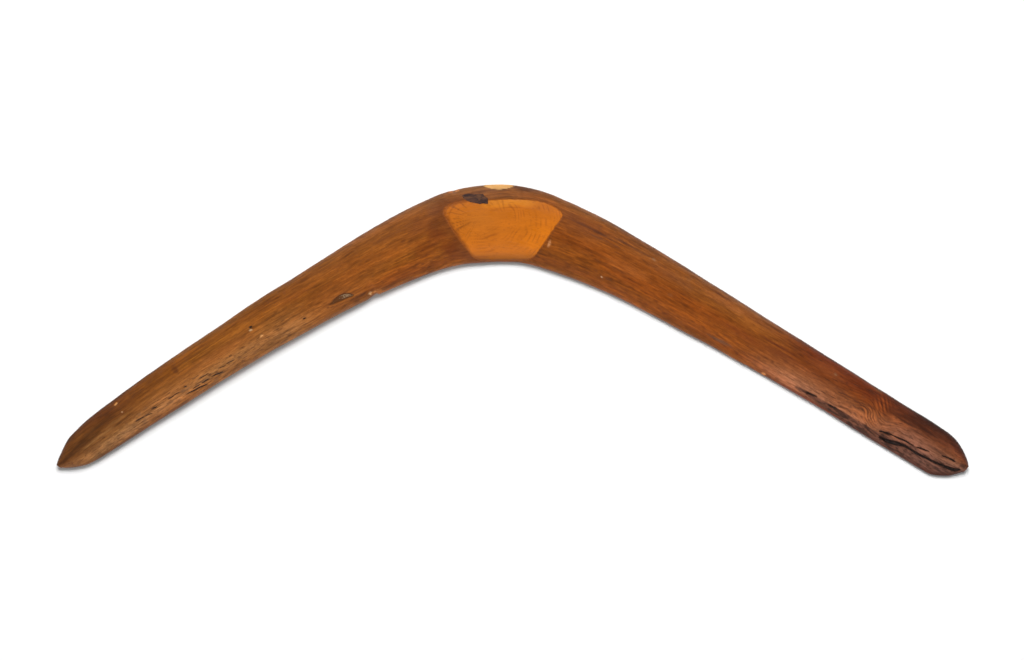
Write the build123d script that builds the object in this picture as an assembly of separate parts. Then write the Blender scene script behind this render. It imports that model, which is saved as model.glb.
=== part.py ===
from build123d import *
import math
import os

# A one-piece wooden boomerang, carved from a natural elbow of hardwood.
#
# Frame: X runs tip to tip, +Y points to the outside of the elbow, +Z is up.
# The origin is on the flat underside, midway across the wood at the elbow.
# The flat underside lies on Z = 0 and the domed side faces up.
# The left arm runs to -X and the right arm to +X. All sizes are in mm.
#
# The wood is one solid, timber_body. The other pieces lie on it or in it:
#   window_varnish  clear amber varnish in a shallow scraped window at the elbow
#   residue_patch   thin scrap of old dark residue across the window's outer edge
#   gum_vein        hard black gum in the long split at the right-hand tip
#                   and in slivers along the right arm
#   gum_flecks      short slivers of the same gum in open pores of the left arm
#   gallery_fill    grey packed dust in an old insect gallery in the left arm

# ---------------------------------------------------------------- blade sizes
CROWN_ELBOW = 10.6         # thickness at the elbow
CROWN_ARM = 9.6            # thickness at the middle of an arm
CROWN_POWER = 2.2          # how flat the crown is: 2 is a plain parabola
RIM_LIMIT = 0.42           # greatest rim height, as a share of the crown height
SKIRT = 1.0                # the loft runs this far below Z = 0, then is planed off
KEEP_BOX = (700, 400, 40)  # box standing on Z = 0 that keeps all above the underside

# The edge tucks in below the rim. The tuck is measured at Z = 0.
TUCK_OF_RIM = 0.3          # tuck as a share of the rim height
TUCK_OF_WIDTH = 0.12       # greatest tuck, as a share of the blade's width
SKIRT_TUCK = 2.4           # inset at the foot of the skirt, in tucks
HALF_RIM_TUCK = 0.22       # inset halfway up the rim, in tucks
CROWN_STEPS = (0.0, 0.03, 0.1, 0.22, 0.4, 0.66)   # shares of the run from a rim to the crown

# ------------------------------------------------- sizes of layers and fillings
WINDOW_DEPTH = 0.40        # how deep the window is scraped
VARNISH = 0.25             # varnish film in the window
RESIDUE = 0.25             # thickness of the residue patch
RESIDUE_PROUD = 0.10       # how far the patch stands above the wood
RESIDUE_SINK = RESIDUE - RESIDUE_PROUD
VEIN_DEPTH = 1.6           # depth of the split and its slivers
FLECK_DEPTH = 0.8          # depth of the filled pores
GALLERY_DEPTH = 1.2        # depth of the insect gallery
GUM_BELOW = 0.25           # the gum lies this far below the wood's surface
DUST_BELOW = 2 * GUM_BELOW # the same for the gallery's dust

TRENCH_CLEAR = 3.0         # trench cutters reach this far above the wood
LAYER_CUT = 6.0            # thickness of the cutters for the window and patch
PRISM_FOOT = -5            # outlines are extruded from this Z
PRISM_HEIGHT = 30.0

# --------------------------------------------------------------- blade tables
# Table of offsets. Each rib crosses the blade square to its centre line:
# distance along the centre line, outer edge x, y, inner edge x, y.
RIBS = [
    (0.8, -291.1, -160.9, -289.0, -163.5), (2.0, -290.7, -159.4, -287.3, -163.7),
    (4.0, -289.9, -157.2, -284.7, -163.8), (7.0, -288.5, -154.2, -281.1, -163.6),
    (11.0, -286.6, -150.1, -276.6, -163.0), (17.0, -283.4, -144.4, -270.3, -161.4),
    (25.0, -277.8, -138.4, -263.2, -157.9), (36.0, -269.6, -130.7, -254.0, -152.1),
    (52.0, -256.8, -120.8, -240.7, -143.6), (74.0, -238.9, -107.6, -222.5, -131.8),
    (98.0, -219.1, -93.6, -202.3, -119.2), (124.0, -197.4, -78.8, -180.5, -105.5),
    (150.0, -175.7, -64.2, -158.3, -92.2), (176.0, -154.1, -49.8, -135.9, -79.3),
    (202.0, -132.0, -36.1, -113.3, -66.9), (228.0, -109.8, -21.8, -90.8, -55.2),
    (252.0, -88.9, -8.6, -69.9, -45.2), (274.0, -68.7, 3.1, -50.3, -37.2),
    (294.0, -49.0, 13.0, -33.0, -30.9), (312.0, -30.0, 20.9, -17.9, -27.4),
    (328.0, -11.5, 24.7, -5.2, -26.4), (344.0, 8.1, 25.9, 6.4, -25.9),
    (362.0, 30.1, 22.2, 19.6, -26.6), (382.0, 52.1, 13.8, 35.8, -30.7),
    (406.0, 75.9, 2.3, 56.6, -38.0), (432.0, 99.4, -11.3, 79.8, -47.7),
    (458.0, 122.0, -24.8, 102.8, -59.0), (484.0, 144.1, -38.7, 125.5, -71.2),
    (510.0, 166.2, -52.5, 148.2, -83.2), (536.0, 188.2, -66.6, 170.7, -95.8),
    (562.0, 210.3, -80.4, 193.3, -108.5), (588.0, 232.4, -94.3, 215.8, -121.4),
    (612.0, 252.7, -107.2, 236.2, -133.9), (632.0, 269.6, -117.7, 253.2, -144.4),
    (657.9, 291.6, -131.3, 275.4, -157.7), (669.9, 301.6, -138.0, 285.7, -163.9),
    (678.9, 308.8, -143.4, 293.6, -168.1), (685.9, 313.4, -149.2, 301.2, -169.1),
    (690.4, 315.9, -153.6, 306.6, -168.9), (693.9, 317.6, -157.5, 311.4, -167.6),
    (695.9, 318.4, -160.0, 314.3, -166.8), (697.1, 318.7, -161.8, 316.0, -166.2),
]
ELBOW_RIBS = RIBS[16:27]   # the ribs that span the window and the patch

# Section shape along the blade: distance, crown height, crown place as a share
# of the width from the outer edge, and for the outer and the inner edge the
# height of the rim and its bluntness. The left arm leads with its inner edge
# and the right arm with its outer edge, so those rims are the blunt ones.
SHAPE = [
    # distance, crown,    place, outer rim,  inner rim
    (0.0,    3.2,         0.55,  1.3, 1.40,  1.3, 1.40),
    (4.0,    4.3,         0.58,  1.3, 1.40,  1.5, 1.45),
    (11.0,   5.8,         0.61,  1.3, 1.38,  1.8, 1.50),
    (25.0,   7.2,         0.64,  1.3, 1.35,  2.2, 1.60),
    (60.0,   8.4,         0.66,  1.3, 1.30,  2.5, 1.70),
    (150.0,  CROWN_ARM,   0.64,  1.4, 1.32,  2.5, 1.70),
    (240.0,  10.1,        0.58,  1.6, 1.40,  2.3, 1.60),
    (336.0,  CROWN_ELBOW, 0.48,  2.0, 1.55,  1.9, 1.50),
    (430.0,  10.1,        0.42,  2.3, 1.60,  1.6, 1.40),
    (520.0,  CROWN_ARM,   0.37,  2.5, 1.70,  1.4, 1.32),
    (620.0,  8.4,         0.35,  2.5, 1.70,  1.3, 1.30),
    (669.0,  7.3,         0.38,  2.2, 1.60,  1.3, 1.35),
    (686.0,  5.9,         0.42,  1.8, 1.50,  1.3, 1.38),
    (694.0,  4.4,         0.46,  1.5, 1.45,  1.3, 1.40),
    (697.9,  3.2,         0.50,  1.3, 1.40,  1.3, 1.40),
]

# -------------------------------------------------- outlines and runs, as x, y
# Scraped window: a rounded trapezium, wide towards the outside of the elbow.
WINDOW = [
    (-32.0, 7.6), (-28.1, 11.8), (-19.9, 14.3), (-2.4, 15.1), (12.0, 15.6), (25.4, 15.0),
    (34.3, 13.6), (41.4, 11.0), (46.2, 6.9), (46.4, 3.0), (41.5, -3.8), (37.0, -10.7),
    (31.6, -17.8), (25.2, -24.0), (8.0, -24.5), (-9.6, -24.3), (-16.6, -17.4), (-22.8, -9.0),
    (-29.0, 0.6),
]
# Scrap of residue, with straight-sided edges.
PATCH = [
    (-20.1, 18.2), (-16.4, 19.6), (-11.5, 19.0), (-5.9, 19.3), (-4.8, 17.6), (-2.6, 16.3),
    (-2.7, 12.4), (-5.9, 12.7), (-8.2, 12.2), (-10.4, 13.0), (-13.7, 13.5), (-16.4, 14.4),
    (-18.7, 15.7),
]
# The long split: centre x, y and width.
SPLIT = [
    (258.7, -142.9, 0.5), (262.0, -144.6, 1.2), (266.0, -146.2, 2.2), (270.0, -147.2, 2.3),
    (274.6, -148.4, 1.1), (279.7, -151.5, 0.9), (283.0, -153.6, 1.4), (287.0, -155.6, 1.0),
    (292.0, -158.0, 0.75), (297.1, -160.4, 0.9), (302.3, -162.6, 1.3), (306.0, -164.0, 1.7),
    (309.2, -164.9, 1.6), (312.4, -164.9, 0.6),
]
# Slivers of gum in the right arm: from x, y, to x, y, width, bow.
SIDE_VEINS = [
    (258.6, -139.0, 267.6, -141.8, 0.7, 0.3), (268.5, -142.4, 281.0, -148.6, 0.6, 0.4),
    (283.4, -149.6, 291.6, -152.6, 0.6, 0.1), (300.4, -155.4, 304.6, -157.0, 0.6, 0.1),
    (304.9, -157.0, 309.2, -159.4, 0.75, 0.1), (209.6, -112.6, 216.7, -116.0, 0.6, 0.1),
    (224.6, -121.4, 230.4, -124.4, 0.6, 0.1),
]
# Gum-filled pores, close to the grain direction of the left arm: columns as above.
FLECKS = [
    (-203.7, -114.3, -196.5, -111.0, 0.5, 0.2), (-197.5, -110.9, -189.8, -107.6, 0.62, 0.1),
    (-199.3, -110.6, -194.0, -107.6, 0.5, 0.1), (-193.4, -107.0, -188.2, -103.9, 0.5, 0.1),
    (-186.6, -102.5, -179.3, -99.4, 0.6, 0.1), (-194.8, -104.0, -188.8, -100.4, 0.5, 0.0),
    (-182.3, -97.1, -177.5, -95.2, 0.5, 0.0), (-215.6, -117.6, -211.8, -115.2, 0.5, 0.0),
    (-205.0, -109.6, -203.2, -108.8, 0.6, 0.0), (-226.2, -123.9, -223.2, -122.6, 0.62, 0.0),
    (-237.6, -132.4, -231.8, -129.4, 0.5, 0.2), (-231.0, -128.9, -226.4, -127.0, 0.5, 0.1),
    (-161.6, -69.9, -159.8, -69.1, 1.3, 0.0), (-125.9, -64.3, -123.9, -63.3, 0.7, 0.0),
    (-212.0, -115.0, -208.0, -112.9, 0.5, 0.0), (-177.0, -94.0, -171.5, -91.3, 0.5, 0.0),
]
# Taper of a sliver: share of its length, share of its width.
TAPER = ((0.0, 0.3), (0.3, 1.0), (0.7, 0.9), (1.0, 0.3))
# The insect gallery, a short crescent trench: centre x, y and width.
GALLERY = [
    (-107.0, -54.0, 0.7), (-104.4, -52.2, 2.3), (-100.5, -49.9, 2.9), (-96.3, -48.5, 2.5),
    (-92.8, -48.4, 0.9),
]


# ------------------------------------------------------------- blade's surface
def between(start, end, share):
    """Row of numbers a share of the way from one row to another."""
    return [p + (q - p) * share for p, q in zip(start, end)]


def shape_at(distance):
    """Crown height, crown place, then (rim height, bluntness) of the outer and the inner edge."""
    a, b = next((a, b) for a, b in zip(SHAPE, SHAPE[1:]) if distance <= b[0])
    share = (distance - a[0]) / (b[0] - a[0])
    crown, place, outer_rim, outer_blunt, inner_rim, inner_blunt = between(a[1:], b[1:], share)
    limit = RIM_LIMIT * crown
    return crown, place, (min(outer_rim, limit), outer_blunt), (min(inner_rim, limit), inner_blunt)


def dome_height(share, crown, rim, blunt):
    """Height a share of the way from a rim to the crown."""
    return rim + (crown - rim) * (1.0 - (1.0 - share) ** CROWN_POWER) ** (1.0 / blunt)


def edge_points(run, width, crown, rim, blunt):
    """Points (inset from the edge, height) from the skirt's foot up towards the crown."""
    tuck = min(TUCK_OF_RIM * rim, TUCK_OF_WIDTH * width)
    below = [(tuck * SKIRT_TUCK, -SKIRT), (tuck, 0.0), (tuck * HALF_RIM_TUCK, rim * 0.5)]
    return below + [(run * t, dome_height(t, crown, rim, blunt)) for t in CROWN_STEPS]


def profile(distance, width):
    """Points (across from the outer edge, height) from under one rim to under the other."""
    crown, place, outer, inner = shape_at(distance)
    outer_side = edge_points(place * width, width, crown, *outer)
    inner_side = edge_points((1.0 - place) * width, width, crown, *inner)
    mirrored = [(width - inset, z) for inset, z in inner_side]
    return outer_side + [(place * width, crown)] + mirrored[::-1]


def section(rib, lift=0.0):
    """Points of the section at one rib, in place, raised by lift."""
    distance, outer_x, outer_y, inner_x, inner_y = rib
    width = math.hypot(inner_x - outer_x, inner_y - outer_y)
    unit_x, unit_y = (inner_x - outer_x) / width, (inner_y - outer_y) / width
    return [Vector(outer_x + unit_x * across, outer_y + unit_y * across, z + lift)
            for across, z in profile(distance, width)]


def side_of_rib(rib, x, y):
    """Number whose sign tells which side of a rib's line a point is on."""
    _, outer_x, outer_y, inner_x, inner_y = rib
    return (inner_x - outer_x) * (y - outer_y) - (inner_y - outer_y) * (x - outer_x)


def top_height(x, y):
    """Height of the domed side above a point."""
    for a, b in zip(RIBS, RIBS[1:]):
        side_a, side_b = side_of_rib(a, x, y), side_of_rib(b, x, y)
        if side_a * side_b > 0:
            continue
        rib = between(a, b, side_a / (side_a - side_b))
        distance, outer_x, outer_y, inner_x, inner_y = rib
        run_x, run_y = inner_x - outer_x, inner_y - outer_y
        width = math.hypot(run_x, run_y)
        across = ((x - outer_x) * run_x + (y - outer_y) * run_y) / width
        if not 0 <= across <= width:
            continue
        crown, place, outer, inner = shape_at(distance)
        if across < place * width:
            return dome_height(across / (place * width), crown, *outer)
        return dome_height((width - across) / ((1.0 - place) * width), crown, *inner)
    raise ValueError("the point isn't on the blade")


def polygon(points):
    return Wire.make_polygon(points, close=True)


# ------------------------------------------------------------ trenches and fills
def strip(run, low, high, flat_top):
    """Solid that follows a run of (x, y, width), between two offsets from the domed surface.
    The low offset is from the lowest of the surface across the run. The high one is too
    with flat_top, and otherwise is from the highest."""
    wires = []
    for n, (x, y, wide) in enumerate(run):
        a, b = run[max(0, n - 1)], run[min(len(run) - 1, n + 1)]
        length = math.hypot(b[0] - a[0], b[1] - a[1])
        half_x = -(b[1] - a[1]) / length * wide / 2
        half_y = (b[0] - a[0]) / length * wide / 2
        left, right = (x + half_x, y + half_y), (x - half_x, y - half_y)
        heights = [top_height(*left), top_height(x, y), top_height(*right)]
        bottom = min(heights) + low
        top = (min(heights) if flat_top else max(heights)) + high
        wires.append(polygon([Vector(*left, bottom), Vector(*right, bottom),
                              Vector(*right, top), Vector(*left, top)]))
    return Solid.make_loft(wires, ruled=True)


def sliver(x0, y0, x1, y1, wide, bow):
    """Run of points for a short sliver, narrow at both ends and bowed to one side."""
    length = math.hypot(x1 - x0, y1 - y0)
    normal_x, normal_y = -(y1 - y0) / length, (x1 - x0) / length
    run = []
    for t, share in TAPER:
        off = bow * 4 * t * (1 - t)
        run.append((x0 + (x1 - x0) * t + normal_x * off,
                    y0 + (y1 - y0) * t + normal_y * off, wide * share))
    return run


def trenches(runs, depth):
    return [strip(run, -depth, TRENCH_CLEAR, flat_top=False) for run in runs]


def fillings(runs, depth, below):
    return [strip(run, -depth, -below, flat_top=True) for run in runs]


# ------------------------------------------------------------------ elbow layers
def prism(outline, smooth):
    """Upright prism on a closed outline, drawn as a spline if smooth."""
    points = [Vector(x, y, PRISM_FOOT) for x, y in outline]
    wire = Wire([Edge.make_spline(points, periodic=True)]) if smooth else polygon(points)
    return Solid.extrude(Face(wire), Vector(0, 0, PRISM_HEIGHT))


def elbow_layer(outline, offset, thick, smooth):
    """Layer of the elbow's domed surface inside an outline, from an offset upwards."""
    wires = []
    for rib in ELBOW_RIBS:
        # the four points up to each rim are left off
        low = section(rib, offset)[4:-4]
        high = section(rib, offset + thick)[4:-4]
        wires.append(polygon(low + high[::-1]))
    layer = Solid.make_loft(wires, ruled=True) & prism(outline, smooth)
    return list(layer.solids())


# ------------------------------------------------------------------- the pieces
VEIN_RUNS = [SPLIT] + [sliver(*row) for row in SIDE_VEINS]
FLECK_RUNS = [sliver(*row) for row in FLECKS]


def blank():
    """The whole blade before any scraping or splits, planed flat underneath.
    The surface is hewn in small flats, one for each bay of the table and step of the section."""
    wires = [polygon(section(rib)) for rib in RIBS]
    keep = Pos(0, 0, KEEP_BOX[2] / 2) * Box(*KEEP_BOX)
    return Solid.make_loft(wires, ruled=True) & keep


def timber_body():
    cutters = trenches(VEIN_RUNS, VEIN_DEPTH)
    cutters += trenches(FLECK_RUNS, FLECK_DEPTH)
    cutters += trenches([GALLERY], GALLERY_DEPTH)
    cutters += elbow_layer(WINDOW, -WINDOW_DEPTH, LAYER_CUT, smooth=True)
    cutters += elbow_layer(PATCH, -RESIDUE_SINK, LAYER_CUT, smooth=False)
    return list(blank().cut(*cutters).solids())


parts = {
    "timber_body": timber_body(),
    "window_varnish": elbow_layer(WINDOW, -WINDOW_DEPTH, VARNISH, smooth=True),
    "residue_patch": elbow_layer(PATCH, -RESIDUE_SINK, RESIDUE, smooth=False),
    "gum_vein": fillings(VEIN_RUNS, VEIN_DEPTH, GUM_BELOW),
    "gum_flecks": fillings(FLECK_RUNS, FLECK_DEPTH, GUM_BELOW),
    "gallery_fill": fillings([GALLERY], GALLERY_DEPTH, DUST_BELOW),
}

os.makedirs("parts", exist_ok=True)
for name, solids in parts.items():
    shape = solids[0] if len(solids) == 1 else Compound(children=solids)
    export_step(shape, f"parts/{name}.step")
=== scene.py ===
"""A one-piece wooden boomerang, domed above and flat below.

It rests on the plane z = 0 and is seen from above with +Y up. The left arm runs from its tip at
-X to the elbow near the origin, the right arm on to its tip at +X. The outer edge is the +Y side.
Lengths are millimetres until add_mesh() turns them into metres; the stage is in metres.

Places on the blade: `along` is the distance from the left tip, `share` the part of the way from
the outer edge (0) to the inner edge (1). `spots` is a tuple (x, y, along, share, width).
"""
import math

import bmesh
import bpy
import numpy as np
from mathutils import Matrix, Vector


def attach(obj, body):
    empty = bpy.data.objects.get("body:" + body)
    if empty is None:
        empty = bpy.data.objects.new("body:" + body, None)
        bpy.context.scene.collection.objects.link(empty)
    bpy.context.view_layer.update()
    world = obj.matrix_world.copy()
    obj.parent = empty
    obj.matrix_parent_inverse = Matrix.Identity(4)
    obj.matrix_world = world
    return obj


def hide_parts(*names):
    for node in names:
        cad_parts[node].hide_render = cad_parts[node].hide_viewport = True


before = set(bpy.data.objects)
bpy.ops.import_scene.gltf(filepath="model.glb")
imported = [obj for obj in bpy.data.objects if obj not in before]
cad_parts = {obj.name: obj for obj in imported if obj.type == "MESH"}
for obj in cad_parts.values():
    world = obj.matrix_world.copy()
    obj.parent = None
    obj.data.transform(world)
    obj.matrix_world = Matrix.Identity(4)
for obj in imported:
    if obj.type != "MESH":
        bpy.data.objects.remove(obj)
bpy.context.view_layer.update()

# ------------------------------------------------------------------ measured form
# along, outer edge x and y, inner edge x and y
RIBS = np.array([
    (0, -291.27, -161.74, -291.27, -161.74),
    (0.8, -291.1, -160.9, -289, -163.5), (2, -290.7, -159.4, -287.3, -163.7),
    (4, -289.9, -157.2, -284.7, -163.8), (7, -288.5, -154.2, -281.1, -163.6),
    (11, -286.6, -150.1, -276.6, -163), (17, -283.4, -144.4, -270.3, -161.4),
    (25, -277.8, -138.4, -263.2, -157.9), (36, -269.6, -130.7, -254, -152.1),
    (52, -256.8, -120.8, -240.7, -143.6), (74, -238.9, -107.6, -222.5, -131.8),
    (98, -219.1, -93.6, -202.3, -119.2), (124, -197.4, -78.8, -180.5, -105.5),
    (150, -175.7, -64.2, -158.3, -92.2), (176, -154.1, -49.8, -135.9, -79.3),
    (202, -132, -36.1, -113.3, -66.9), (228, -109.8, -21.8, -90.8, -55.2),
    (252, -88.9, -8.6, -69.9, -45.2), (274, -68.7, 3.1, -50.3, -37.2),
    (294, -49, 13, -33, -30.9), (312, -30, 20.9, -17.9, -27.4),
    (328, -11.5, 24.7, -5.2, -26.4), (344, 8.1, 25.9, 6.4, -25.9),
    (362, 30.1, 22.2, 19.6, -26.6), (382, 52.1, 13.8, 35.8, -30.7),
    (406, 75.9, 2.3, 56.6, -38), (432, 99.4, -11.3, 79.8, -47.7),
    (458, 122, -24.8, 102.8, -59), (484, 144.1, -38.7, 125.5, -71.2),
    (510, 166.2, -52.5, 148.2, -83.2), (536, 188.2, -66.6, 170.7, -95.8),
    (562, 210.3, -80.4, 193.3, -108.5), (588, 232.4, -94.3, 215.8, -121.4),
    (612, 252.7, -107.2, 236.2, -133.9), (632, 269.6, -117.7, 253.2, -144.4),
    (657.9, 291.6, -131.3, 275.4, -157.7), (669.9, 301.6, -138, 285.7, -163.9),
    (678.9, 308.8, -143.4, 293.6, -168.1), (685.9, 313.4, -149.2, 301.2, -169.1),
    (690.4, 315.9, -153.6, 306.6, -168.9), (693.9, 317.6, -157.5, 311.4, -167.6),
    (695.9, 318.4, -160, 314.3, -166.8), (697.1, 318.7, -161.8, 316, -166.2),
    (697.93, 318.73, -162.41, 318.73, -162.41),
])
LENGTH = RIBS[-1, 0]
# along, crown height, share at which the crown lies, rim height and bluntness of the outer edge,
# rim height and bluntness of the inner edge
SECTIONS = np.array([
    (0, 3.2, 0.55, 1.3, 1.40, 1.3, 1.40), (4, 4.3, 0.58, 1.3, 1.40, 1.5, 1.45),
    (11, 5.8, 0.61, 1.3, 1.38, 1.8, 1.50), (25, 7.2, 0.64, 1.3, 1.35, 2.2, 1.60),
    (60, 8.4, 0.66, 1.3, 1.30, 2.5, 1.70), (150, 9.6, 0.64, 1.4, 1.32, 2.5, 1.70),
    (240, 10.1, 0.58, 1.6, 1.40, 2.3, 1.60), (336, 10.6, 0.48, 2.0, 1.55, 1.9, 1.50),
    (430, 10.1, 0.42, 2.3, 1.60, 1.6, 1.40), (520, 9.6, 0.37, 2.5, 1.70, 1.4, 1.32),
    (620, 8.4, 0.35, 2.5, 1.70, 1.3, 1.30), (669, 7.3, 0.38, 2.2, 1.60, 1.3, 1.35),
    (686, 5.9, 0.42, 1.8, 1.50, 1.3, 1.38), (694, 4.4, 0.46, 1.5, 1.45, 1.3, 1.40),
    (LENGTH, 3.2, 0.50, 1.3, 1.40, 1.3, 1.40),
])
# outline (x, y) of the varnished window at the elbow
WINDOW = np.array([
    (-32, 7.6), (-28.1, 11.8), (-19.9, 14.3), (-2.4, 15.1), (12, 15.6), (25.4, 15), (34.3, 13.6),
    (41.4, 11), (46.2, 6.9), (46.4, 3), (41.5, -3.8), (37, -10.7), (31.6, -17.8), (25.2, -24),
    (8, -24.9), (-9.6, -24.3), (-16.6, -17.4), (-22.8, -9), (-29, 0.6)])
# outline (x, y) of the scrap of residue above the window
PATCH = np.array([
    (-20.1, 18.2), (-16.4, 19.6), (-11.5, 19), (-5.9, 19.3), (-4.8, 17.6), (-2.6, 16.3),
    (-2.7, 12.4), (-5.9, 12.7), (-8.2, 12.2), (-10.4, 13), (-13.7, 13.5), (-16.4, 14.4),
    (-18.7, 15.7)])
# the long split at the right tip: x, y, width
SPLIT = [
    (258.7, -142.9, 0.4), (262, -144.6, 1.2), (266, -146.2, 2.2), (270, -147.2, 2.3),
    (274.6, -148.4, 1.1), (279.7, -151.5, 0.9), (283, -153.6, 1.4), (287, -155.6, 1),
    (292, -158, 0.75), (297.1, -160.4, 0.9), (302.3, -162.6, 1.3), (306, -164, 1.7),
    (309.2, -164.9, 1.6), (312.4, -164.9, 0.6)]
# short channels: start x and y, end x and y, width, bow
SIDE_VEINS = [
    (258.6, -139, 267.6, -141.8, 0.70, 0.3), (268.5, -142.4, 281, -148.6, 0.55, 0.4),
    (283.4, -149.6, 291.6, -152.6, 0.50, 0.1), (300.4, -155.4, 304.6, -157, 0.55, 0.1),
    (304.9, -157, 309.2, -159.4, 0.75, 0.1), (209.6, -112.6, 216.7, -116, 0.42, 0.1),
    (224.6, -121.4, 230.4, -124.4, 0.55, 0.1)]
FLECKS = [
    (-203.7, -114.3, -196.5, -111, 0.50, 0.2), (-197.5, -110.9, -189.8, -107.6, 0.62, 0.1),
    (-199.3, -110.6, -194, -107.6, 0.42, 0.1), (-193.4, -107, -188.2, -103.9, 0.50, 0.1),
    (-186.6, -102.5, -179.3, -99.4, 0.60, 0.1), (-194.8, -104, -188.8, -100.4, 0.32, 0),
    (-182.3, -97.1, -177.5, -95.2, 0.28, 0), (-215.6, -117.6, -211.8, -115.2, 0.40, 0),
    (-205, -109.6, -203.2, -108.8, 0.60, 0), (-226.2, -123.9, -223.2, -122.6, 0.62, 0),
    (-237.6, -132.4, -231.8, -129.4, 0.36, 0.2), (-231, -128.9, -226.4, -127, 0.40, 0.1),
    (-161.6, -69.9, -159.8, -69.1, 1.3, 0), (-125.9, -64.3, -123.9, -63.3, 0.7, 0),
    (-212, -115, -208, -112.9, 0.30, 0), (-177, -94, -171.5, -91.3, 0.26, 0)]
# runs of x, y, width
GALLERY = [
    (-107, -54, 0.7), (-104.4, -52.2, 2.3), (-100.5, -49.9, 2.9), (-96.3, -48.5, 2.5),
    (-92.8, -48.4, 0.9)]
CHAR_RUN = [
    (203, -109.5, 1.4), (216, -117.5, 2.8), (228, -124.5, 4.6), (240, -133, 5),
    (252, -140, 5.6), (264, -146.5, 7.5), (278, -153.5, 9.5), (292, -160, 9),
    (304, -164.5, 6), (312, -165.5, 2.5)]
# chips and bruises: x, y, half length along the grain, half width across it, depth
DENTS = np.array([
    (-251.2, -120.8, 2, 1, 0.55), (-246.4, -126.1, 0.9, 0.7, 0.30),
    (-153.4, -75.3, 1.4, 0.9, 0.35), (-81.1, -46.9, 2.2, 1.1, 0.55),
    (-25.6, 20.6, 2.4, 1, 0.40), (38.2, -14, 1.1, 2, 0.18), (73.1, -36.2, 0.8, 0.8, 0.35),
    (108, -24.5, 2.2, 1, 0.16), (181.7, -100.8, 1.5, 0.8, 0.45), (-144, -59.5, 1.6, 0.5, 0.22),
    (-59, -12.3, 1.6, 0.7, 0.20), (-30.5, 18.8, 1.2, 0.7, 0.25), (130.7, -37.8, 1.5, 0.8, 0.12),
    (118.6, -48.4, 1.4, 0.9, 0.12), (-167, -66, 1, 0.6, 0.15), (228, -97.5, 1.1, 0.7, 0.16),
    (160, -60.5, 1.5, 0.6, 0.14), (-128, -41.5, 1.3, 0.6, 0.14), (205.5, -88, 2, 0.5, 0.15),
    (-201, -92, 1.8, 0.5, 0.14)])
PITH = (-9.5, 3.0)          # centre of the growth rings that the window cuts across
SWIRL = (253.0, -128.0)     # where the fibres dive round a small knot near the right tip
KNOT = (260.5, -121.8)      # its eye
CHANNEL_DEPTH = {"vein": 1.1, "pore": 0.75, "gallery": 1.0}
WINDOW_DEPTH = 0.40         # how far the bed of the window lies below the dome

# ------------------------------------------------------------------ stain colours and painted sheen
# each row: share, then a display colour in 0 to 255
# painted sheen: the lighter, greyer band on the inner side of both arms (share about 0.6 to 0.92) and
# the lighter, greyer strip at the outer edge round the elbow; the rest of these colours is stain
LEFT = [
    (0, 114, 69, 22), (0.035, 127, 74, 21), (0.12, 130, 71, 17), (0.30, 133, 75, 20),
    (0.45, 125, 71, 25), (0.60, 134, 80, 34), (0.74, 150, 96, 50), (0.86, 140, 87, 42),
    (0.94, 128, 77, 32), (0.968, 124, 74, 29), (0.985, 129, 81, 35), (1, 124, 75, 30)]
LEFT_END = [
    (0, 81, 46, 21), (0.05, 92, 50, 20), (0.25, 97, 54, 20), (0.45, 99, 58, 22),
    (0.56, 113, 69, 31), (0.68, 140, 89, 44), (0.80, 150, 101, 59), (0.92, 130, 86, 48),
    (0.97, 92, 56, 26), (1, 86, 50, 23)]
LEFT_TIP = [
    (0, 79, 44, 18), (0.05, 88, 48, 18), (0.25, 95, 56, 20), (0.45, 82, 47, 18),
    (0.56, 88, 53, 23), (0.68, 102, 62, 29), (0.80, 127, 82, 43), (0.92, 138, 92, 50),
    (0.97, 100, 60, 25), (1, 90, 51, 22)]
LEFT_MID = [
    (0, 98, 58, 20), (0.05, 112, 62, 17), (0.12, 114, 63, 15), (0.28, 118, 66, 20),
    (0.45, 124, 72, 28), (0.55, 136, 81, 36), (0.65, 150, 93, 47), (0.78, 149, 97, 54),
    (0.90, 136, 87, 46), (0.965, 118, 70, 28), (1, 108, 63, 25)]
LEFT_IN = [
    (0, 117, 70, 28), (0.035, 128, 74, 25), (0.12, 132, 72, 21), (0.30, 134, 76, 20),
    (0.45, 122, 68, 20), (0.60, 129, 73, 24), (0.74, 138, 82, 33), (0.86, 130, 73, 25),
    (0.94, 126, 71, 24), (0.968, 124, 70, 25), (0.985, 128, 77, 31), (1, 122, 72, 28)]
LEFT_OF_ELBOW = [
    (0, 122, 78, 44), (0.05, 136, 83, 40), (0.14, 133, 74, 24), (0.26, 132, 73, 20),
    (0.42, 134, 73, 22), (0.60, 140, 76, 21), (0.78, 132, 69, 14), (0.90, 118, 60, 12),
    (0.97, 128, 71, 18), (1, 130, 74, 22)]
ELBOW = [
    (0, 126, 82, 46), (0.06, 142, 88, 43), (0.14, 130, 76, 34), (0.24, 130, 73, 28),
    (0.50, 128, 70, 24), (0.80, 122, 64, 20), (0.95, 112, 60, 20), (1, 116, 62, 22)]
RIGHT = [
    (0, 110, 64, 32), (0.04, 130, 76, 34), (0.11, 132, 72, 24), (0.22, 136, 74, 24),
    (0.38, 127, 66, 18), (0.55, 124, 63, 15), (0.75, 127, 64, 12), (0.90, 119, 58, 11),
    (0.965, 122, 64, 15), (1, 122, 64, 18)]
RIGHT_FAR = [
    (0, 86, 37, 12), (0.05, 100, 41, 12), (0.20, 100, 43, 16), (0.38, 113, 54, 19),
    (0.52, 120, 66, 34), (0.66, 131, 77, 45), (0.80, 140, 88, 59), (0.91, 170, 106, 72),
    (0.965, 96, 48, 26), (1, 108, 48, 26)]
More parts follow.
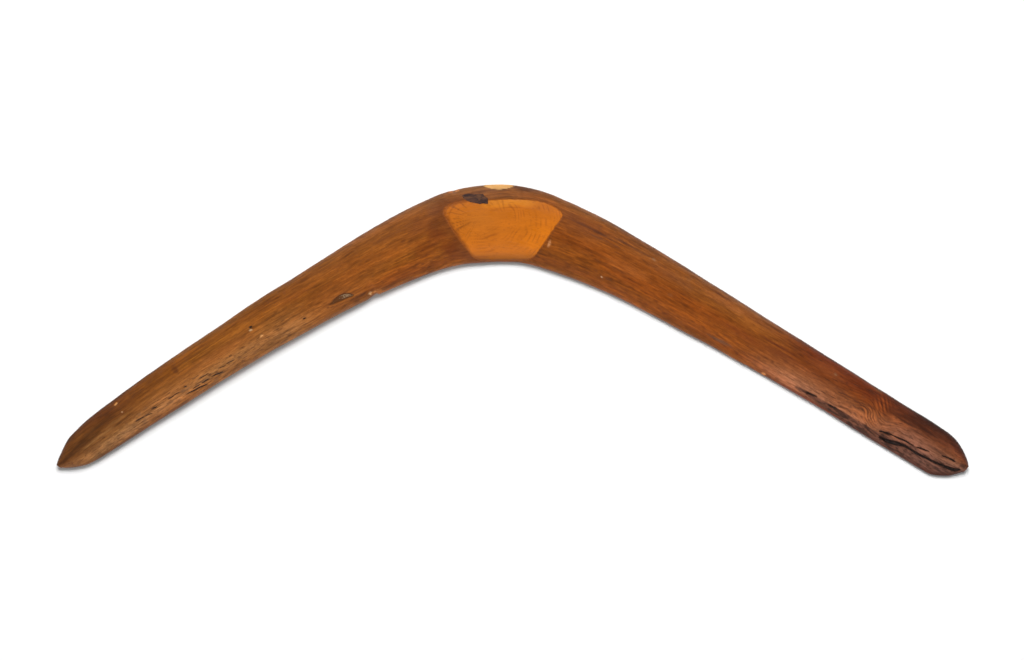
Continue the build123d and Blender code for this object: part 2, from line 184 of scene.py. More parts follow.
RIGHT_END = [
    (0, 46, 21, 13), (0.06, 60, 26, 15), (0.20, 84, 42, 22), (0.34, 108, 60, 36),
    (0.50, 126, 78, 56), (0.68, 141, 91, 70), (0.84, 143, 93, 72), (0.95, 98, 50, 34),
    (1, 78, 34, 22)]
RIGHT_TIP = [
    (0, 54, 26, 15), (0.06, 68, 32, 19), (0.20, 98, 52, 31), (0.34, 108, 60, 36),
    (0.50, 118, 74, 52), (0.68, 118, 77, 59), (0.84, 92, 58, 46), (0.95, 64, 34, 24),
    (1, 54, 26, 18)]
# along, the stain and painted sheen there
STAINS_AND_SHEEN = [
    (0, LEFT_TIP), (22, LEFT_TIP), (48, LEFT_END), (80, LEFT_MID), (112, LEFT), (178, LEFT),
    (208, LEFT_IN), (265, LEFT_OF_ELBOW), (300, LEFT_OF_ELBOW), (336, ELBOW), (375, RIGHT),
    (520, RIGHT), (580, RIGHT_FAR), (622, RIGHT_FAR), (658, RIGHT_END), (686, RIGHT_TIP),
    (LENGTH, RIGHT_TIP)]
# stains and bruises: x, y, half length, half width, display colour (3), strength, softness
MARKS = np.array([
    (-256.7, -127.6, 2.4, 1.5, 66, 34, 14, 0.4, 0.8), (-250, -116.5, 5.5, 1, 70, 38, 18, 0.5, 0.8),
    (-211.3, -97.8, 1.8, 2.8, 76, 38, 16, 0.62, 0.8),
    (-228.6, -106.3, 2.2, 1.1, 78, 42, 18, 0.45, 0.8), (-246, -127.2, 3, 1.6, 84, 44, 20, 0.35, 0.8),
    (-264, -136, 9, 1, 78, 48, 21, 0.4, 0.7), (-272, -146, 8, 1, 74, 45, 20, 0.4, 0.7),
    (-240, -117, 9, 1.2, 92, 50, 20, 0.4, 0.8), (-251.2, -120.8, 1.15, 0.6, 214, 150, 84, 0.95, 0.35),
    (-246.5, -126.1, 0.6, 0.45, 190, 146, 104, 0.75, 0.4),
    (-153.4, -75.3, 1.3, 0.8, 206, 148, 90, 0.85, 0.4),
    (-160.7, -71.6, 0.9, 0.6, 214, 180, 136, 0.6, 0.4), (-144, -59.5, 1.4, 0.5, 84, 48, 20, 0.4, 0.6),
    (-81.1, -46.9, 1.5, 0.75, 226, 172, 118, 0.95, 0.35),
    (-88, -48.6, 6.5, 0.9, 72, 38, 16, 0.72, 0.6), (-76, -45.6, 4.5, 0.9, 182, 110, 48, 0.7, 0.5),
    (-110.5, -54.6, 3, 2, 104, 54, 18, 0.5, 0.9), (-91, -45.6, 5, 0.6, 84, 44, 18, 0.55, 0.6),
    (-60, -42.5, 8, 0.6, 96, 54, 22, 0.5, 0.6), (-59, -12.3, 1.6, 0.8, 84, 42, 16, 0.65, 0.7),
    (-50, -27.6, 1.2, 0.5, 78, 38, 12, 0.6, 0.6), (-46, -27.6, 1.1, 0.5, 78, 38, 12, 0.6, 0.6),
    (-40.5, -25.8, 1.3, 0.5, 78, 38, 12, 0.6, 0.6), (-104, -31.5, 16, 2.6, 119, 60, 18, 0.25, 0.9),
    (-130, -48, 14, 2.2, 119, 60, 18, 0.45, 0.9), (-66, -8, 12, 1.5, 112, 62, 26, 0.45, 0.9),
    (-48, -2, 9, 5, 112, 58, 24, 0.5, 0.9), (-36.5, -8, 6, 6, 100, 46, 14, 0.78, 0.9),
    (-27, -17, 6.5, 4.5, 98, 44, 13, 0.8, 0.9), (-37, 8, 5, 5, 106, 60, 34, 0.6, 0.9),
    (-45, -18, 6, 5, 112, 54, 16, 0.5, 0.9), (-27.5, 20.6, 1.5, 0.8, 196, 118, 60, 0.8, 0.4),
    (-23.6, 21.6, 1.4, 0.6, 206, 132, 72, 0.8, 0.4), (-30.6, 18.6, 1, 0.5, 180, 108, 54, 0.6, 0.5),
    (-8, 21, 9, 1.5, 88, 56, 42, 0.55, 0.8), (19.5, 22.9, 7.5, 1.4, 84, 48, 28, 0.85, 0.7),
    (8.5, 21.9, 2.8, 0.45, 70, 40, 26, 0.7, 0.5), (38.3, -13.9, 0.9, 2, 184, 124, 78, 0.8, 0.5),
    (58, -3, 15, 5.5, 106, 56, 26, 0.55, 0.9), (73, -8, 6, 0.55, 78, 44, 28, 0.72, 0.5),
    (69, -9.4, 4.5, 0.5, 84, 48, 30, 0.62, 0.5), (89, -13.4, 6, 0.6, 78, 44, 26, 0.72, 0.5),
    (102, -21, 8, 0.5, 82, 46, 26, 0.62, 0.5), (83, -16, 3, 0.5, 92, 50, 28, 0.55, 0.5),
    (96, -15, 5, 0.5, 90, 50, 28, 0.5, 0.5), (108, -24.5, 1.6, 0.8, 142, 112, 84, 0.45, 0.6),
    (73.1, -36.2, 0.5, 0.45, 206, 176, 142, 0.75, 0.4), (77.5, -37.4, 3, 0.8, 72, 40, 20, 0.6, 0.6),
    (118.6, -48.4, 2, 1, 104, 72, 50, 0.28, 0.8), (130.7, -37.8, 2.2, 1.1, 98, 66, 44, 0.28, 0.8),
    (153, -79.3, 6.5, 0.9, 96, 66, 50, 0.5, 0.7), (166, -74, 14, 2.2, 120, 56, 18, 0.55, 0.9),
    (178, -66, 10, 2, 108, 60, 34, 0.35, 0.9), (120, -36, 16, 3, 116, 66, 38, 0.35, 0.9),
    (190, -86.5, 9, 2, 98, 48, 24, 0.5, 0.9), (187, -93, 1.2, 0.7, 70, 36, 20, 0.6, 0.6),
    (178, -90, 1.4, 0.7, 80, 42, 22, 0.5, 0.6), (181.7, -100.8, 1.4, 0.6, 206, 132, 72, 0.8, 0.4),
    (205.5, -88, 2.2, 0.8, 78, 36, 16, 0.6, 0.7), (210, -93, 2.8, 1, 84, 40, 20, 0.45, 0.8),
    (195.5, -92.8, 2, 0.9, 88, 44, 24, 0.5, 0.8), (229, -101, 1.2, 0.8, 120, 96, 70, 0.55, 0.7),
    (232, -111.5, 4, 0.7, 84, 44, 26, 0.6, 0.6), (243, -119.2, 4.5, 0.7, 80, 40, 24, 0.65, 0.6),
    (252, -122.5, 3, 0.8, 78, 38, 22, 0.6, 0.6), (252.5, -112.5, 5, 1.2, 70, 30, 14, 0.62, 0.8),
    (258, -112, 3, 0.8, 92, 66, 36, 0.5, 0.8), (269, -127, 9, 3.2, 78, 38, 20, 0.66, 0.9),
    (286, -136, 14, 3.2, 58, 26, 15, 0.66, 0.9), (300, -145, 9, 2, 84, 42, 26, 0.35, 0.9),
    (315, -162.6, 3, 1.6, 40, 22, 18, 0.75, 0.8), (311.5, -152, 7, 1, 62, 26, 18, 0.55, 0.9),
    (262.5, -140.4, 4.5, 0.6, 44, 24, 20, 0.8, 0.5), (272, -144.4, 3.8, 0.6, 56, 32, 26, 0.7, 0.5),
    (280.5, -148.6, 4.5, 0.6, 50, 28, 24, 0.7, 0.5), (296, -151.3, 6, 0.7, 74, 42, 30, 0.6, 0.6),
    (-284, -163.5, 9, 4, 90, 52, 25, 0.62, 0.9), (-268, -160.5, 14, 3.6, 112, 71, 37, 0.45, 0.9),
    (-283, -157, 9, 0.8, 60, 34, 18, 0.55, 0.6), (-278, -150.5, 10, 0.8, 62, 36, 18, 0.5, 0.6),
    (-268, -140.5, 9, 0.7, 58, 34, 18, 0.5, 0.6), (-259, -133.5, 8, 0.7, 64, 36, 18, 0.45, 0.6),
    (-262, -143, 12, 1, 150, 104, 58, 0.4, 0.7), (-276, -157, 10, 0.8, 132, 88, 46, 0.25, 0.7),
    (-250, -132, 10, 1, 146, 98, 50, 0.4, 0.7), (90, -31, 13, 3.6, 164, 92, 38, 0.35, 0.9),
    (155, -53, 14, 2.8, 158, 92, 46, 0.35, 0.9), (178, -82, 22, 4.5, 104, 52, 20, 0.32, 0.9),
    (224, -98, 12, 3.6, 144, 76, 34, 0.32, 0.9), (-98, -43, 30, 4.5, 108, 60, 22, 0.32, 0.9),
    (-187, -93, 20, 4.5, 158, 98, 48, 0.25, 0.9), (-38, 15, 7, 4, 104, 62, 32, 0.5, 0.9),
    (-23, -20, 6, 3.5, 92, 44, 14, 0.55, 0.9), (-61, 8.6, 12, 1.3, 100, 56, 26, 0.45, 0.9),
    (-68, -41.5, 17, 0.7, 84, 44, 16, 0.65, 0.8), (-50, -36.8, 9, 0.6, 84, 42, 14, 0.6, 0.7),
    (-37.5, -1.5, 3.6, 4.6, 92, 48, 20, 0.5, 0.9), (-44, -22, 5, 0.6, 84, 40, 14, 0.55, 0.7),
    (-36, -22.8, 4, 0.5, 80, 38, 14, 0.55, 0.7), (-31, -26.5, 3.6, 0.5, 80, 38, 14, 0.5, 0.7),
    (-40, -15, 5, 0.6, 84, 40, 14, 0.45, 0.7), (-107.6, -54.6, 1.7, 0.35, 60, 32, 14, 0.75, 0.5),
    (-106.2, -56.2, 1.5, 0.3, 60, 32, 14, 0.7, 0.5), (-103.6, -55.4, 1.3, 0.3, 66, 36, 16, 0.6, 0.5),
    (-109, -56.6, 1.2, 0.3, 66, 36, 16, 0.6, 0.5), (-98, -46.4, 5.5, 0.5, 70, 38, 18, 0.55, 0.6),
    (70, -6, 15, 0.7, 76, 42, 26, 0.7, 0.7), (62, -2, 12, 0.6, 84, 46, 28, 0.6, 0.7),
    (84, -11.5, 9, 0.5, 76, 42, 24, 0.6, 0.6), (76, -12.5, 10, 0.5, 86, 48, 28, 0.5, 0.6),
    (95, -17.5, 10, 0.6, 80, 44, 26, 0.6, 0.7), (72, -26, 6, 0.5, 84, 46, 22, 0.5, 0.6),
    (82, -30.5, 5, 0.5, 80, 42, 18, 0.55, 0.6), (87, -33.5, 4, 0.5, 78, 40, 18, 0.6, 0.6),
    (136, -37, 5, 0.5, 84, 44, 22, 0.55, 0.6), (146, -44, 9, 0.7, 88, 46, 24, 0.5, 0.7),
    (155, -49.5, 9, 0.7, 84, 44, 24, 0.55, 0.7), (148, -76.6, 5, 0.4, 78, 58, 44, 0.6, 0.5),
    (156, -80, 5, 0.4, 76, 56, 44, 0.6, 0.5), (194, -84, 10, 0.8, 80, 34, 18, 0.55, 0.7),
    (198, -90, 8, 0.6, 82, 36, 18, 0.55, 0.7), (186, -79.5, 9, 0.7, 88, 40, 22, 0.45, 0.7),
    (276, -133, 8, 0.6, 48, 24, 16, 0.6, 0.6), (284, -140, 7, 0.6, 50, 26, 18, 0.55, 0.6),
    (290, -139, 7, 0.5, 46, 22, 14, 0.6, 0.6), (262, -128, 4, 0.5, 60, 30, 18, 0.6, 0.6),
    (236, -115, 5, 0.5, 72, 36, 22, 0.6, 0.6), (248, -122.5, 5, 0.5, 70, 34, 20, 0.6, 0.6),
    (232, -105, 8, 0.6, 84, 42, 22, 0.45, 0.6), (258, -118.5, 6, 0.6, 70, 32, 16, 0.5, 0.6),
    (270, -132, 7, 1.4, 166, 92, 50, 0.35, 0.8), (248, -128.5, 9, 1.2, 172, 98, 54, 0.35, 0.8),
])


# ------------------------------------------------------------------ small maths
def curve(stops, values, query):
    """Smooth curve through a table: cubic pieces with three-point slopes."""
    gap = np.diff(stops)
    rise = np.diff(values) / gap
    slope = np.empty(len(stops))
    slope[1:-1] = (gap[1:] * rise[:-1] + gap[:-1] * rise[1:]) / (gap[1:] + gap[:-1])
    slope[0], slope[-1] = rise[0], rise[-1]
    i = np.clip(np.searchsorted(stops, query, side="right") - 1, 0, len(stops) - 2)
    t = np.clip((query - stops[i]) / gap[i], 0.0, 1.0)
    return ((2 * t ** 3 - 3 * t ** 2 + 1) * values[i]
            + (t ** 3 - 2 * t ** 2 + t) * gap[i] * slope[i]
            + (-2 * t ** 3 + 3 * t ** 2) * values[i + 1]
            + (t ** 3 - t ** 2) * gap[i] * slope[i + 1])


def ease(start, end, value):
    """Smooth step: 0 at start, 1 at end. A start above the end makes it fall."""
    t = np.clip((value - start) / (end - start), 0.0, 1.0)
    return t * t * (3 - 2 * t)


def between(rise, full, fade, end, value):
    """Rises from 0 at rise to 1 at full, and falls from 1 at fade to 0 at end."""
    return ease(rise, full, value) * ease(end, fade, value)


def inset(start, full, value, total):
    """Fades out the same way towards 0 and towards the total."""
    return ease(start, full, value) * ease(start, full, total - value)


def hashed(i, j, seed):
    """Random number from 0 to 1 for each cell of a grid."""
    n = (i.astype(np.int64) * 374761393 + j.astype(np.int64) * 668265263
         + seed * 69069069) & 0xFFFFFFFF
    n = ((n ^ (n >> 13)) * 1274126177) & 0xFFFFFFFF
    n = ((n ^ (n >> 15)) * 2246822519) & 0xFFFFFFFF
    return ((n ^ (n >> 16)) & 0xFFFFFF) / float(0xFFFFFF)


def noise(x, y, seed, octaves=1):
    """Smooth value noise from -1 to 1."""
    x, y = np.broadcast_arrays(np.asarray(x, float), np.asarray(y, float))
    total, size, weight = 0.0, 1.0, 0.0
    for octave in range(octaves):
        i, j = np.floor(x), np.floor(y)
        u, v = [t * t * t * (t * (6 * t - 15) + 10) for t in (x - i, y - j)]
        key = seed + 17 * octave
        value = ((hashed(i, j, key) * (1 - u) + hashed(i + 1, j, key) * u) * (1 - v)
                 + (hashed(i, j + 1, key) * (1 - u) + hashed(i + 1, j + 1, key) * u) * v)
        total = total + (2 * value - 1) * size
        weight += size
        x, y, size = x * 2.03 + 5.1, y * 2.03 + 9.7, size * 0.5
    return total / weight


def noise_on(first, second):
    """Noise over two coordinates, called with the size of its cells along each of them."""
    def cells(length, width, seed, octaves=1):
        return noise(first / length, second / width, seed, octaves)
    return cells


def linear(colour):
    """Linear colour of a display colour given in 0 to 255."""
    c = np.asarray(colour, float) / 255.0
    return np.where(c <= 0.04045, c / 12.92, ((c + 0.055) / 1.055) ** 2.4)


def blend(first, second, amount):
    amount = np.asarray(amount)[..., None]
    return first * (1 - amount) + second * amount


def tint(colour, display, amount):
    """Blends a colour towards a display colour."""
    return blend(colour, linear(display), amount)


def shade(colour, factor):
    return colour * factor[..., None]


def to_segment(x, y, start, end):
    """Distance to a straight piece, and the share of it at which it is nearest."""
    dx, dy = end[0] - start[0], end[1] - start[1]
    t = np.clip(((x - start[0]) * dx + (y - start[1]) * dy) / (dx * dx + dy * dy), 0, 1)
    return np.hypot(x - start[0] - t * dx, y - start[1] - t * dy), t


def to_run(x, y, run):
    """Distance to a run of (x, y, width) points, and its width at the nearest place."""
    best, width = np.full(np.shape(x), 1e9), np.zeros(np.shape(x))
    for start, end in zip(run, run[1:]):
        distance, t = to_segment(x, y, start, end)
        near = distance < best
        best = np.where(near, distance, best)
        width = np.where(near, start[2] + t * (end[2] - start[2]), width)
    return best, width


def inside_depth(x, y, outline):
    """Distance to a closed outline, positive inside."""
    best, inside = np.full(np.shape(x), 1e9), np.zeros(np.shape(x), bool)
    for start, end in zip(outline, np.roll(outline, -1, 0)):
        best = np.minimum(best, to_segment(x, y, start, end)[0])
        (x0, y0), (x1, y1) = start, end
        if y0 != y1:
            inside ^= ((y0 > y) != (y1 > y)) & (x < (x1 - x0) * (y - y0) / (y1 - y0) + x0)
    return np.where(inside, best, -best)


def closed_curve(points, count):
    """Points on a smooth closed curve through the given ones."""
    total = len(points)
    out = []
    for k in range(count):
        place = k * total / count
        i, t = int(place) % total, place - int(place)
        before, here, after, beyond = [points[(i + step) % total] for step in (-1, 0, 1, 2)]
        out.append(0.5 * (2 * here + (after - before) * t
                          + (2 * before - 5 * here + 4 * after - beyond) * t * t
                          + (3 * here - before - 3 * after + beyond) * t ** 3))
    return np.array(out)


def push_out(outline, amount):
    """Moves the points of an outline away from its middle."""
    away = outline - outline.mean(0)
    away /= np.hypot(away[:, 0], away[:, 1])[:, None]
    return outline + away * amount[:, None]


def dash(x0, y0, x1, y1, width, bow):
    """Run of (x, y, width) for a short bowed channel with narrow ends."""
    length = math.hypot(x1 - x0, y1 - y0)
    side_x, side_y = -(y1 - y0) / length, (x1 - x0) / length
    run = []
    for t, swell in ((0.0, 0.35), (0.25, 0.95), (0.5, 1.0), (0.75, 0.9), (1.0, 0.3)):
        shift = bow * 4 * t * (1 - t)
        run.append((x0 + (x1 - x0) * t + side_x * shift,
                    y0 + (y1 - y0) * t + side_y * shift, width * swell))
    return run


VEINS = [SPLIT] + [dash(*row) for row in SIDE_VEINS]
PORES = [dash(*row) for row in FLECKS]
WINDOW_LINE = closed_curve(WINDOW, 160)


# ------------------------------------------------------------------ the blade's form
def edges(along):
    """Outer and inner edge points, each as rows of x and y, with the waver of hand work."""
    outer, inner = [np.array([curve(RIBS[:, 0], RIBS[:, column], along) for column in pair])
                    for pair in ((1, 2), (3, 4))]
    unit = (inner - outer) / (np.hypot(*(inner - outer)) + 1e-9)
    fade = inset(3, 25, along, LENGTH)
    out_wave = fade * (0.16 * noise(along / 23, 0, seed=3) + 0.07 * noise(along / 6, 0, seed=4))
    in_wave = fade * (0.14 * noise(along / 23, 0, seed=5) + 0.04 * noise(along / 6, 0, seed=6))
    # a splinter has come off the inner edge of the left arm
    in_wave = in_wave + 1.15 * between(236, 243.6, 244.4, 246, along)
    # a small nick in each edge
    in_wave = in_wave + 0.3 * np.exp(-((along - 535.5) / 1.3) ** 2)
    out_wave = out_wave - 0.35 * np.exp(-((along - 316.0) / 1.8) ** 2)
    return outer - unit * out_wave, inner - unit * in_wave


def profile(along):
    """The columns of SECTIONS, with the rims kept low where the blade is thin."""
    crown, place, rim_out, blunt_out, rim_in, blunt_in = [
        np.interp(along, SECTIONS[:, 0], SECTIONS[:, column]) for column in range(1, 7)]
    return (crown, place, np.minimum(rim_out, 0.42 * crown), blunt_out,
            np.minimum(rim_in, 0.42 * crown), blunt_in)


def section_height(along, share):
    """Height of the dome without any relief."""
    crown, place, rim_out, blunt_out, rim_in, blunt_in = profile(along)
    outer = share < place
    climb = np.clip(np.where(outer, share / place, (1 - share) / (1 - place)), 0, 1)
    rim = np.where(outer, rim_out, rim_in)
    blunt = np.where(outer, blunt_out, blunt_in)
    round_top = (1 - (1 - climb) ** 2.2) ** (1 / blunt)
    # towards the tips the dome closes up into a soft ridge
    ridge = 0.42 * (1 - ease(40, 120, np.minimum(along, LENGTH - along)))
    keen = np.minimum(climb ** 0.72 * 1.02, 1.0)
    return rim + (crown - rim) * (round_top * (1 - ridge) + ridge * keen * (2 - keen) ** 0.3)


FINE = np.linspace(0, LENGTH, 2400)
FINE_X, FINE_Y = sum(edges(FINE)) / 2      # the middle line


def locate(x, y):
    """Along and share of points on the plan."""
    x, y = np.atleast_1d(np.asarray(x, float)), np.atleast_1d(np.asarray(y, float))
    along = np.empty(len(x))
    for start in range(0, len(x), 4000):      # in batches, to spare memory
        part = slice(start, start + 4000)
        squared = (x[part, None] - FINE_X) ** 2 + (y[part, None] - FINE_Y) ** 2
        along[part] = FINE[np.argmin(squared, 1)]

    def miss(station):
        """Distance from each point to the rib at a station."""
        outer, inner = edges(station)
        span = inner - outer
        cross = span[0] * (y - outer[1]) - span[1] * (x - outer[0])
        return cross / (np.hypot(*span) + 1e-9)

    for _ in range(5):
        here = miss(along)
        slope = (miss(np.clip(along + 0.4, 0, LENGTH)) - here) / 0.4
        slope = np.where(np.abs(slope) < 0.15, np.sign(slope + 1e-9) * 0.15, slope)
        along = np.clip(along - np.clip(here / slope, -4, 4), 0.05, LENGTH - 0.05)
    outer, inner = edges(along)
    span = inner - outer
    reach = (x - outer[0]) * span[0] + (y - outer[1]) * span[1]
    return along, reach / np.maximum(span[0] ** 2 + span[1] ** 2, 1e-9)


def skin(along, share, width):
    """The hand-scraped skin of the dome: long shallow flats and the fine raised grain."""
    grain = noise_on(along, (share - 0.5) * width)
    calm = inset(0, 0.07, share, 1) * inset(2, 16, along, LENGTH)
    return calm * (0.17 * grain(34, 8.5, seed=11, octaves=2) + 0.06 * grain(9, 3.5, seed=12)
                   + 0.040 * grain(16, 0.95, seed=13, octaves=2))


def char_mask(spots):
    """Where the rough dark band beside the long split lies, from 0 to 1."""
    x, y, along, share, width = spots
    distance, wide = to_run(x, y, CHAR_RUN)
    waver = 0.9 * noise_on(along, (share - 0.5) * width)(9, 1.3, seed=41, octaves=2)
    return ease(wide / 2 + 1.1, wide / 2 - 0.9, distance + waver)


def relief(spots):
    """Everything that departs from the plain dome on the upper side, in height."""
    x, y, along, share, width = spots
    inward = (share - 0.5) * width
    grain = noise_on(along, inward)
    height = skin(along, share, width)
    # pulled grain: short torn hollows, thickest on the inner side of the left arm
    where = between(0.50, 0.66, 0.90, 0.99, share) * between(40, 60, 120, 190, along)
    height = height - 0.16 * ease(0.42, 0.8, grain(5.5, 0.9, seed=14)) * where
    calm = inset(0, 0.07, share, 1)
    height = height - 0.05 * ease(0.55, 0.85, grain(7, 0.8, seed=15)) * calm
    # the bed of the window
    height = height - WINDOW_DEPTH * ease(-0.30, 0.30, inside_depth(x, y, WINDOW_LINE))
    # chips
    ragged = 0.45 * noise(along * 0.9, inward * 1.6, seed=21, octaves=2)
    for dent, dent_along, dent_share in zip(DENTS, *locate(*DENTS.T[:2])):
        half_length, half_width, depth = dent[2:]
        radius = np.hypot((along - dent_along) / half_length,
                          (inward - (dent_share - 0.5) * width) / half_width)
        height = height - depth * ease(1.25, 0.35, radius + ragged)
    # channels for the fillings
    for kind, runs in (("vein", VEINS), ("pore", PORES), ("gallery", [GALLERY])):
        for run in runs:
            distance, wide = to_run(x, y, run)
            height = height - CHANNEL_DEPTH[kind] * ease(wide / 2 + 0.34, wide / 2 - 0.16,
                                                         distance)
    # the char beside the long split stands rough
    return height + char_mask(spots) * (0.16 * grain(6, 0.9, seed=31, octaves=2) - 0.06)


def wedge_plane(x, y, share):
    """Height of the flat shaving on the outside of the elbow, endless elsewhere."""
    plane = (5.22 - 1.36 * (y - 22.65) + 0.08 * np.hypot(x - 4.4, 1.2)
             + 0.07 * noise(x / 1.1, y / 4, seed=51))
    return np.where((np.abs(x - 4.8) < 17) & (y > 18) & (share < 0.5), plane, np.inf)


def top_surface(spots):
    x, y, along, share, _ = spots
    return np.minimum(section_height(along, share) + relief(spots), wedge_plane(x, y, share))


def surface_at(x, y):
    """Height of the skin over plan points, without chips or channels, and their spots."""
    along, share = locate(x, y)
    outer, inner = edges(along)
    width = np.hypot(*(inner - outer))
    share = np.clip(share, 0, 1)
    height = section_height(along, share) + skin(along, share, width)
    return height, (x, y, along, share, width)


# ------------------------------------------------------------------ grain and paint
# In this section `outward` is the distance from the middle line towards the outer edge.
def grain_place(x, y):
    """Along and outward distance of one spot."""
    along, share = locate([x], [y])
    outer, inner = edges(along)
    return along[0], (0.5 - share[0]) * np.hypot(*(inner - outer))[0]


def ring_field(along, outward):
    """Coordinate that crosses the growth rings; the fibres follow its level lines."""
    swirl_along, swirl_outward = grain_place(*SWIRL)
    da, do = along - swirl_along, outward - swirl_outward
    # the fibres climb towards the knot, dive past it and come back to their line
    near, level = da / 8.4, np.exp(-(do / 9.5) ** 2)
    ring = outward + 8.6 * near * np.exp(-0.5 * near * near) * level
    ring = ring + 1.1 * np.exp(-(da / 26.0) ** 2) * level * noise(along / 6.5, outward / 4.5,
                                                                  seed=63)
    # the figure at the elbow wavers a little, as grain does round a bend
    bend = np.exp(-((along - 336) / 60.0) ** 2)
    return (ring + bend * 1.6 * noise(along / 21, outward / 9, seed=61)
            + 0.5 * noise(along / 60, outward / 12, seed=62))


def ramp(stops, share):
    stops = np.array(stops)
    colours = linear(stops[:, 1:])
    return np.stack([np.interp(share, stops[:, 0], colours[:, k]) for k in range(3)], -1)


def paint_stain_and_sheen(spots, outward, ring):
    """The stain and painted sheen along the blade, with its bands and streaks."""
    x, y, along, share, _ = spots
    streak, figure = noise_on(along, outward), noise_on(along, ring)
    wander = 0.035 * streak(38, 14, seed=71, octaves=2)
    shifted = np.clip(share + wander * inset(0, 0.12, share, 1), 0, 1)
    colour = np.zeros(np.shape(x) + (3,))
    for (start, first), (end, second) in zip(STAINS_AND_SHEEN, STAINS_AND_SHEEN[1:]):
        on = (along >= start) & (along < end)
        colour[on] = blend(ramp(first, shifted[on]), ramp(second, shifted[on]),
                           ease(start, end, along[on]))
    # broad bands of stain that follow the grain, and blots
    band = (0.14 * figure(55, 3.6, seed=72, octaves=2)
            + 0.15 * figure(28, 1.4, seed=73, octaves=2))
    colour = shade(colour, 1 + band + 0.07 * noise(x / 13, y / 13, seed=74, octaves=2))
    warm = 0.06 * streak(44, 7, seed=75)
    colour = colour * np.stack([1 + warm, 1 - 0.2 * warm, 1 - 1.3 * warm], -1)
    # fine streaks, dark and light
    fine = figure(15, 0.62, seed=76, octaves=2)
    colour = shade(colour, 1 - 0.27 * ease(0.05, 0.65, fine))
    colour = shade(colour, 1 + 0.14 * ease(0.05, 0.65, -fine))
    thread = figure(4.6, 0.72, seed=80, octaves=2)
    strength = 0.5 + 0.5 * ease(0.5, 0.7, share)
    return shade(colour, 1 - 0.32 * strength * ease(0.15, 0.6, thread)
                 + 0.20 * strength * ease(0.15, 0.6, -thread))


def paint_knot(colour, spots, outward, ring):
    """Rings round the knot near the right tip, and the short upright bars of its eye."""
    x, y, along = spots[:3]
    swirl_along, swirl_outward = grain_place(*SWIRL)
    near = np.exp(-((along - swirl_along + 3.0) / 20.0) ** 2
                  - ((outward - swirl_outward + 1.0) / 7.6) ** 2)
    rings = np.sin(2 * np.pi * (ring / 2.3
                                + 0.45 * noise(along / 7, ring / 2.2, seed=77, octaves=2)))
    keep = 0.35 + 0.65 * ease(-0.3, 0.4, noise(along / 8, outward / 5, seed=79))
    colour = tint(colour, (178, 98, 48), 0.62 * near * ease(0.1, 0.9, rings) * keep)
    colour = tint(colour, (70, 34, 20), 0.66 * near * ease(0.40, 0.95, -rings) * keep)
    eye_along, eye_outward = grain_place(*KNOT)
    eye = np.exp(-((along - eye_along) / 4.8) ** 2 - ((outward - eye_outward) / 4.4) ** 2)
    bars = np.sin(2 * np.pi * (x - KNOT[0] + 0.16 * (y - KNOT[1])
                               + 0.5 * noise(x / 3.5, y / 5, seed=78)) / 2.5)
    colour = tint(colour, (168, 84, 34), 0.72 * eye * ease(0.0, 0.8, bars))
    return tint(colour, (66, 30, 16), 0.75 * eye * ease(0.1, 0.8, -bars))


def paint_marks(colour, spots, outward):
    _, _, along, _, width = spots
    for mark, mark_along, mark_share in zip(MARKS, *locate(*MARKS.T[:2])):
        half_length, half_width = mark[2:4]
        strength, soft = mark[7:]
        radius = np.hypot((along - mark_along) / half_length,
                          (outward - (0.5 - mark_share) * width) / half_width)
        radius = radius + (0.50 - 0.10 * soft) * noise(
            along / (0.35 * half_length + 0.8), outward / (0.5 * half_width + 0.35),
            seed=81 + int(abs(mark[0])) % 37, octaves=2)
        amount = strength * ease(1.0 + 0.75 * soft, 1.0 - 0.8 * soft, radius)
        colour = tint(colour, mark[4:7], amount)
    return colour


def paint_char(colour, spots, outward, ring, char):
    """The char beside the split, and broken black flecks there and over the pitted areas."""
    x, _, along, share, _ = spots
    fleck_noise = noise_on(along, outward)
    streak = 0.5 + 0.5 * noise(along / 7, ring / 0.8, seed=91, octaves=2)
    pale = ease(262, 284, x)
    grit = 0.5 + 0.5 * fleck_noise(1.6, 0.8, seed=94, octaves=2)
    dark = tint(tint(linear((90, 55, 43)), (96, 62, 50), pale), (34, 21, 18),
                ease(0.40, 0.70, streak) * (0.85 - 0.25 * pale))
    dark = shade(dark, 0.78 + 0.44 * grit)
    colour = blend(colour, dark, char * (0.80 + 0.20 * streak) * (1 - 0.22 * pale))
    black = fleck_noise(2.6, 0.62, seed=98, octaves=2)
    colour = tint(colour, (30, 18, 15), 0.75 * char * ease(0.12, 0.50, black))
    left = 0.8 * between(0.54, 0.68, 0.92, 0.985, share) * between(30, 50, 150, 215, along)
    pitted = np.maximum(ease(0.30, 0.60, share) * ease(550, 610, along), left)
    pitted = np.maximum(pitted, 0.5 * ease(600, 660, along))
    return tint(colour, (66, 40, 28), 0.62 * pitted * ease(0.36, 0.62, black))


